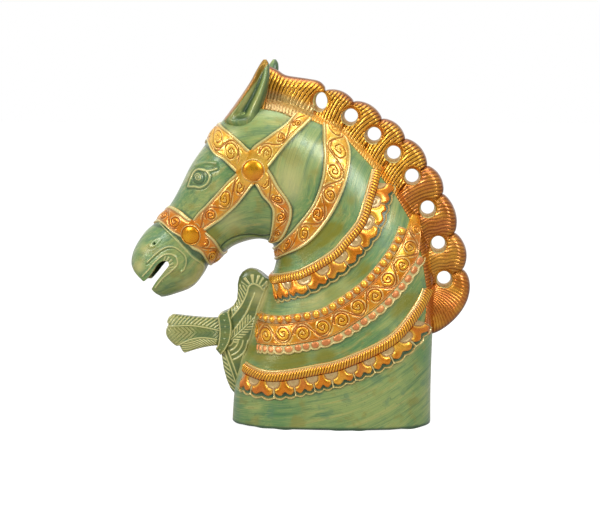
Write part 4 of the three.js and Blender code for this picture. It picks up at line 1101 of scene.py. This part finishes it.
def inside(x, z, region):
    """Distance into a strap's ground, negative outside it."""
    loop = np.array([*region[0], *region[1][::-1], region[0][0]], float)
    odd = np.zeros(x.shape, bool)
    for (ax, az), (bx, bz) in zip(loop[:-1], loop[1:]):
        crosses = (az > z) != (bz > z)
        odd ^= crosses & (x < (bx - ax) * (z - az) / (bz - az if bz != az else 1e-9) + ax)
    d = to_line(x, z, loop)[0]
    return np.where(odd, d, -d)


def strap(name, edges, relief, material, replaces, start=None, end=None, both=False, loop=False,
          spacing=0.44):
    """A closed strip bent over the bust. A point's place runs straight in slice and angle from one
    edge to the other, and it stands off the skin by the relief at that place. Its under side is sunk
    into the bust. The strip over both sides is the left one with its mirror image joined to it."""
    upper, lower = edges
    middle = (edge_places(upper, 80, start, end) + edge_places(lower, 80, start, end)) / 2
    length = np.linalg.norm(np.diff(skin(*middle.T), axis=0), axis=1).sum()
    n = int(length / spacing)
    a, b = edge_places(upper, n, start, end), edge_places(lower, n, start, end)
    m = max(8, int(np.median(np.linalg.norm(skin(*a.T) - skin(*b.T), axis=1)) / spacing))
    t = np.linspace(0, 1, m)
    place = a[:, None, :] * (1 - t[None, :, None]) + b[:, None, :] * t[None, :, None]
    base = skin(place[..., 0], place[..., 1])
    normal = skin_normal(place[..., 0], place[..., 1])
    steps = np.linalg.norm(np.diff(base[:, m // 2], axis=0), axis=1)
    along = np.concatenate([[0], np.cumsum(steps)])[:, None] * np.ones((1, m))
    width = np.linalg.norm(base[:, -1] - base[:, 0], axis=1)[:, None] * np.ones((1, m))
    height, paint = relief(along, t[None, :] * width, width, base[..., 0], base[..., 2])
    top = base + normal * height[..., None]
    low = (base - normal * STRAP_SINK)[:, [0, -1]]
    if both:
        for grid in (top, low):
            if end is not None:
                grid[-1, :, 1] = 0.0
            if start is not None:
                grid[0, :, 1] = 0.0
        keep = slice(1 if loop else 0, -1)
        top = np.concatenate([top, top[keep][::-1] * [1, -1, 1]])
        low = np.concatenate([low, low[keep][::-1] * [1, -1, 1]])
        paint = np.concatenate([paint, paint[keep][::-1]])
    return closed_strip(name, top, low, paint, material, replaces, loop)


def closed_strip(name, top, low, paint, material, replaces, loop):
    """Joins a fine upper grid to a plain under side that has only its two edges."""
    n, m = top.shape[:2]
    start = n * m
    i = np.arange(n if loop else n - 1)
    after = (i + 1) % n
    here, there = (k[:, None] * m + np.arange(m - 1) for k in (i, after))
    near, near_after, far, far_after = start + i * 2, start + after * 2, start + i * 2 + 1, start + after * 2 + 1
    faces = np.concatenate([
        np.stack([here, there, there + 1, here + 1], -1).reshape(-1, 4),
        np.stack([i * m, near, near_after, after * m], -1),
        np.stack([i * m + m - 1, after * m + m - 1, far_after, far], -1),
        np.stack([near, far, far_after, near_after], -1),
    ]).tolist()
    if not loop:
        e = n - 1
        faces.append([start, *range(m), start + 1])
        faces.append([start + e * 2 + 1, *range(e * m + m - 1, e * m - 1, -1), start + e * 2])
    points = np.concatenate([top.reshape(-1, 3), low.reshape(-1, 3)])
    paints = np.concatenate([paint.reshape(-1, 3), paint[:, [0, -1]].reshape(-1, 3)])
    return casting(name, points, faces, paints, material, replaces)


def vine(along, across, width, pitch, margin):
    """The chased scroll vine: how deep it is cut, the painted highlight along one side of the cuts, and the
    painted highlight on the ground of each scroll. Its stem is S-shaped, with a scroll in every bend and light
    hatching beyond the stem."""
    ground = width - 2 * margin
    cell = np.round(along / pitch)
    x = along - cell * pitch
    y = (across - width / 2) * np.where(cell % 2 == 0, 1.0, -1.0)
    swing = 0.47 * ground
    stem_y = swing * np.cos(math.pi * x / pitch)
    slope = np.sqrt(1 + (swing * math.pi / pitch * np.sin(math.pi * x / pitch)) ** 2)
    stem = np.abs(y - stem_y) / slope
    cy = y + 0.08 * ground
    r = np.hypot(x, cy)
    turn = (np.arctan2(cy, x) + math.pi) / (2 * math.pi)
    big = 0.42 * ground
    outer = r - big * (0.62 + 0.46 * turn)
    curl = r - big * (0.10 + 0.46 * turn) - 0.35 * np.sin(turn * 19)
    beyond = (y - stem_y) / slope
    hatch = np.where((beyond > 1.4) & (beyond < 6.5), np.abs(((beyond + 0.5 * x) % 2.2) - 1.1), 9.0)
    cut = np.maximum.reduce([ridge(stem, 0.75), ridge(outer, 0.68), 0.95 * ridge(curl, 0.62), 0.35 * ridge(hatch, 0.5)])
    # Painted highlight along one side of each cut
    pale = np.maximum.reduce([0.75 * ridge(beyond - 1.35, 0.75), 0.75 * ridge(outer - 1.15, 0.7) * (beyond < -0.5),
                              0.7 * ridge(curl + 1.0, 0.6) * (turn > 0.3)])
    leaf = rise(big * 0.95, big * 0.75, r) * (1 - cut)
    open_ground = np.minimum(across, width - across) > margin
    return cut * open_ground, pale * (1 - cut) * open_ground, leaf * open_ground


def chased_strap(pitch, border=1.9, thick=1.5, cream=0.95, joins=(), under=(), plain=None, worn=0.0):
    """Relief of a gilt strap: a raised cream line along each edge, a groove inside it and the vine on
    a slightly crowned ground. Inside the straps that it joins the edge lines stop, it passes a little
    lower under some of them, and round a plain place the vine stops. Its last part may be worn plain.
    A painted highlight lies over the upper part of the head with painted shade just below it, and painted
    highlights lie on the crowned ground, on the scrolls and along one side of the cuts."""
    def relief(along, across, width, x, z):
        d = np.minimum(across, width - across)
        joined = np.max([0 * x] + [rise(-1.6, 0.2, inside(x, z, region)) for region in joins], axis=0)
        lower = np.max([0 * x] + [rise(-0.5, 1.5, inside(x, z, region)) for region in under], axis=0)
        kept = rise(along.max() - 0.3 * worn, along.max() - 1.0 - worn, along)
        clear = (1 - lower) * kept
        joined = np.maximum(joined, 1 - kept)
        if plain is not None:
            (px, pz), radius = plain
            clear = clear * rise(radius + 1.0, radius + 4.0, np.hypot(x - px, z - pz))
        cuts, pale, leaf = (part * clear for part in vine(along, across, width, pitch, border * 1.7))
        line = ridge(d - border * 0.52, border * 0.8) * (1 - joined)
        groove = ridge(d - border * 1.5, border * 0.6) * (1 - joined)
        crown = np.clip(1 - (2 * across / width - 1) ** 2, 0, 1)
        height = rise(-0.1, 0.5, d) * (thick + 0.7 * crown) + 0.35 * line - 0.45 * groove - 0.6 * cuts - 0.45 * lower
        height = height + 0.45 * leaf + 0.2 * pale
        blushed = 0.3 * rise(border * 3.5, border * 1.5, d) * (1 - joined)
        # Painted highlight over the upper part of the head, painted shade just below it
        lit = rise(182, 208, z) * rise(262, 240, z)
        painted_dim = 0.55 * rise(138, 150, z) * (1 - lit)
        # Cream and bright gold as painted highlights on the crown, the scrolls and beside the cuts
        red = np.maximum.reduce([cream * np.clip(1.5 * line, 0, 1), pale, blushed, 0.32 * lit * crown * (1 - cuts)])
        bright = np.maximum(0.42 * crown, 0.75 * leaf) * (1 - painted_dim) + 0.5 * lit
        return height, np.stack([red, np.maximum(0.6 * groove, 0.9 * cuts), np.clip(bright, 0, 1) * (1 - cuts)], -1)
    return relief


CHEEK_ROSETTE = (-35.0, 210.0)
NOSE_ROSETTE = (-86.5, 157.0)
cheek_plain = (CHEEK_ROSETTE, 11.0)
strap("noseband_strap", NOSEBAND, chased_strap(15.0, thick=1.0, joins=[CHEEK], plain=(NOSE_ROSETTE, 10.0)), strap_gold,
      ("noseband",), start=math.pi, end=0.0, both=True, loop=True)
strap("browband_strap", BROWBAND, chased_strap(16.0, joins=[CHEEK], under=[CHEEK], plain=cheek_plain), strap_gold,
      ("browband",), end=math.pi, both=True)
cheek_relief = chased_strap(17.0, joins=[BROWBAND, THROAT_STRAP, NOSEBAND], under=[NOSEBAND], plain=cheek_plain)
cheek = strap("left_cheek_piece", CHEEK, cheek_relief, strap_gold, ("left_cheek_strap",))
mirrored_copy(cheek, "right_cheek_piece", ("right_cheek_strap",))
throat_relief = chased_strap(16.0, joins=[CHEEK], under=[CHEEK], plain=cheek_plain)
throat_strap = strap("left_throat_strap", THROAT_STRAP, throat_relief, strap_gold, ("left_throatlatch",))
mirrored_copy(throat_strap, "right_throat_strap", ("right_throatlatch",))


# Rosettes: low domes of burnished brass, riveted down over the crossings on the cheeks and over the
# noseband. Each is turned in one piece with the groove and the ring round it.
rosette_gold = gilt("rosette_gold", SCROLL, (0.72, 0.255, 0.005), (1.0, 0.52, 0.015), 0.27, 0.75)


def rosette(name, centre, radius, replaces):
    """A polar grid over the skin: a dome, the groove round it and its ring, down into the strap."""
    r = np.concatenate([np.linspace(0.02, 0.8, 26), np.linspace(0.82, 1.16, 26)])
    rr, tt = np.meshgrid(r, np.linspace(0, 2 * math.pi, 90, endpoint=False), indexing="ij")
    x, z = centre[0] + radius * rr * np.cos(tt), centre[1] + radius * rr * np.sin(tt)
    u, a = side_places(x, z, nearest_slice([centre])[0])
    dome = np.sqrt(np.clip(1 - (rr / 0.93) ** 2, 0, 1))
    height = 1.9 + 2.1 * dome + 0.55 * ridge(rr - 1.03, 0.1) - 0.5 * ridge(rr - 0.94, 0.05) - 3.0 * rise(1.10, 1.16, rr)
    points = skin(u, a) + skin_normal(u, a) * height[..., None]
    # Cream on the ring, dark wash in the groove, and a painted highlight over the dome
    paint = np.stack([0.75 * ridge(rr - 1.06, 0.07), 0.9 * ridge(rr - 0.95, 0.045), 0.4 * dome], -1)
    return casting(name, points.reshape(-1, 3), tube_faces(*rr.shape), paint.reshape(-1, 3), rosette_gold,
                   (replaces,))


for name, centre, radius in (("cheek", CHEEK_ROSETTE, 8.6), ("nose", NOSE_ROSETTE, 7.6)):
    dome = rosette(f"left_{name}_dome", centre, radius, f"left_{name}_rosette")
    mirrored_copy(dome, f"right_{name}_dome", (f"right_{name}_rosette",))


# The throat collar is the widest strap and goes all round the neck behind the jaws. Below it hang
# three collars, each of mouldings laid side by side along a guide line from the chest to the crest:
# ropes, beads, a chased band, and rows of pendants over a scalloped cream hem.
strap("throat_collar_band", THROAT_COLLAR, chased_strap(18.5), strap_gold, ("throat_collar",), end=0.0, both=True)

HEM_SAMPLES = 260


def beside(guide, distance, span=1.0):
    """A guide line moved sideways in side elevation, toward the foot, over the first part of its
    length. Its samples are evenly spaced over the skin. The distance may change along it."""
    line = spline(guide, 400)
    run = np.linalg.norm(np.diff(skin(*side_places(*line.T, nearest_slice(line))), axis=0), axis=1)
    run = np.concatenate([[0], np.cumsum(run)])
    even = np.linspace(0, span * run[-1], HEM_SAMPLES)
    line = np.stack([np.interp(even, run, line[:, 0]), np.interp(even, run, line[:, 1])], -1)
    way = np.gradient(line, axis=0)
    way /= np.linalg.norm(way, axis=1, keepdims=True)
    return line + np.stack([way[:, 1], -way[:, 0]], -1) * np.broadcast_to(distance, HEM_SAMPLES)[:, None]


def scalloped(drop, count, depth):
    """Distances to a hem of count scallops."""
    s = np.linspace(0, 1, HEM_SAMPLES)
    return drop - depth * (1 - np.abs(np.sin(math.pi * s * count)))


def moulding(name, guide, low, high, relief, material, node, span=1.0):
    """One moulding of a collar on the left side, and its mirror image on the right."""
    piece = strap(f"left_{name}", (beside(guide, low, span), beside(guide, high, span)), relief, material,
                  (f"left_{node}",), spacing=0.36)
    mirrored_copy(piece, f"right_{name}", (f"right_{node}",))


def rope(pitch, thick, slant):
    """Relief of a half-round rope: slanting lays, with a cream line along its upper edge and a painted highlight on its
    crown.
    """
    def relief(along, across, width, x, z):
        line = ridge(across - 0.9, 1.05)
        s = np.clip((across - 1.6) / (width - 1.6), 0, 1)
        crown = np.sqrt(np.clip(1 - (2 * s - 1) ** 2, 0, 1)) * (across > 1.6)
        phase = (along - slant * s * width) / pitch
        groove = ridge(np.abs(phase - np.round(phase)) * pitch, 0.34 * pitch) * (across > 1.7)
        height = 0.8 + thick * crown * (1 - 0.38 * groove) + 0.5 * line
        cream = np.maximum(line, 0.4 * rise(3.6, 1.8, across))
        dark = np.maximum(groove, 0.6 * ridge(across - 2.1, 0.5))
        return height, np.stack([cream, dark * (1 - line), crown ** 2 * (1 - groove)], -1)
    return relief


def beads(count, thick):
    """Relief of a row of round beads on a dark ground, with a painted highlight on the top of each bead."""
    def relief(along, across, width, x, z):
        share = np.linspace(0, count, len(along))[:, None]
        pitch = along.max() / count
        r = np.hypot((share % 1 - 0.5) * pitch, across - width / 2) / (min(pitch, float(np.median(width))) * 0.47)
        dome = np.sqrt(np.clip(1 - r ** 2, 0, 1))
        line = np.maximum(ridge(across - 0.4, 0.5), 0.6 * ridge(r - 1.08, 0.12))
        height = 0.7 + thick * dome + 0.5 * line
        return height, np.stack([0.8 * line, rise(0.86, 1.0, r) * (1 - line), dome ** 3], -1)
    return relief


def petals(count):
    """Relief of a row of small rounded petals, cream between them and along their scalloped hem."""
    def relief(along, across, width, x, z):
        share = np.linspace(0, count, len(along))[:, None] * np.ones(across.shape)
        middle = share % 1 - 0.5
        petal = (np.abs(middle / 0.40) ** 2.6 + np.abs((across / width - 0.40) / 0.36) ** 2.6) ** (1 / 2.6)
        sunk = rise(0.86, 1.0, petal)
        hem = ridge(width - across - 0.7, 0.8)
        height = 0.6 + 1.3 * np.clip(1 - petal ** 3, 0, 1) ** 0.5 + 0.7 * hem
        return height, np.stack([np.maximum(hem, 0.6 * sunk), sunk * (1 - hem), 0.5 * (1 - sunk)], -1)
    return relief


def bells(count, stem_half, foot):
    """Relief of a row of gilt bells, one to a scallop, between goblets whose bowls hang from the rope
    and whose stems run down into the hem. A bell is peaked at the top, hollowed on both sides by the
    bowls, and ends in two lobes at the foot. Under the lobes the strip is open down to the neck."""
    def relief(along, across, width, x, z):
        share = np.linspace(0, count, len(along))[:, None] * np.ones(across.shape)
        pitch = along.max() / count
        middle = (share % 1 - 0.5) * pitch
        between = pitch / 2 - np.abs(middle)
        y = across / width
        bowl = np.hypot(between / (0.31 * pitch), (y - 0.03) / 0.36) - 1
        lobes = foot + 0.05 * np.cos(np.abs(middle) / pitch * 4 * math.pi - math.pi)
        into = np.minimum.reduce([bowl * 3.2, between - stem_half, (lobes - y) * width])
        bell = rise(0.0, 0.5, into)
        pillow = np.sqrt(1 - (1 - np.clip(into / 2.6, 0, 1)) ** 2)
        goblet = rise(0.02, -0.12, bowl) + rise(stem_half, stem_half - 0.5, between) * (y > 0.3) * (y < 0.95)
        goblet = np.clip(goblet, 0, 1)
        hem = ridge(width - across - 1.05, 1.25)
        open_ground = rise(lobes - 0.02, lobes + 0.02, y) * (1 - hem) * (1 - goblet)
        height = 0.5 + bell * (0.5 + 1.3 * pillow) + 0.8 * goblet * (1 - 0.5 * ridge(bowl + 0.45, 0.4)) + 0.8 * hem
        height = height * (1 - open_ground) - 0.5 * open_ground
        cream = np.maximum.reduce([hem, 0.3 * ridge(bowl + 0.45, 0.5) * (bowl < 0), 0.7 * goblet * (y > 0.5)])
        # Painted highlight along the upper edges of each bell
        bright = bell * rise(1.6, 0.3, into) * (y < 0.6)
        return height, np.stack([cream, (1 - bell) * (1 - hem), np.maximum(bright, 0.12 * bell)], -1)
    return relief


RECESS = (0.47, 0.315, 0.135)
pendant_gold = gilt("pendant_gold", RECESS, (0.74, 0.215, 0.006), (1.0, 0.64, 0.07), 0.25)
petal_copper = gilt("petal_copper", RECESS, (0.60, 0.180, 0.055), (0.82, 0.36, 0.11), 0.36, 0.5)

moulding("upper_rope", UPPER_GUIDE, 0.3, 8.2, rope(2.4, 2.0, -0.15), strap_gold, "upper_collar_rope")
moulding("upper_pendants", UPPER_GUIDE, 8.4, scalloped(23.4, 18, 1.4), bells(9, 0.5, 0.74), pendant_gold,
         "upper_collar_pendants", 0.93)
moulding("middle_beads", MIDDLE_GUIDE, -6.8, -0.2, beads(22, 2.8), pendant_gold, "middle_collar_beads")
band_width = np.interp(np.linspace(0, 1, HEM_SAMPLES), (0, 0.84, 1), (17.2, 17.2, 6.0))
moulding("middle_band", [*MIDDLE_GUIDE, (91.5, 172.5)], 0.0, band_width,
         chased_strap(16.5, 0.9, 1.4, 0.35, worn=16.0), strap_gold, "middle_collar_band")
moulding("middle_petals", MIDDLE_GUIDE, 17.4, scalloped(24.6, 22, 1.2), petals(22), petal_copper,
         "middle_collar_petals", 0.91)
moulding("lower_rope", LOWER_GUIDE, 0.0, 9.0, rope(2.3, 2.3, -0.45), strap_gold, "lower_collar_rope")
hem_drop = np.interp(np.linspace(0, 1, HEM_SAMPLES), (0, 0.3, 0.55, 1), (25.6, 24.8, 23.4, 25.0))
moulding("lower_pendants", LOWER_GUIDE, 9.2, scalloped(hem_drop, 20, 1.8), bells(10, 0.9, 0.71), pendant_gold,
         "lower_collar_pendants", 0.86)
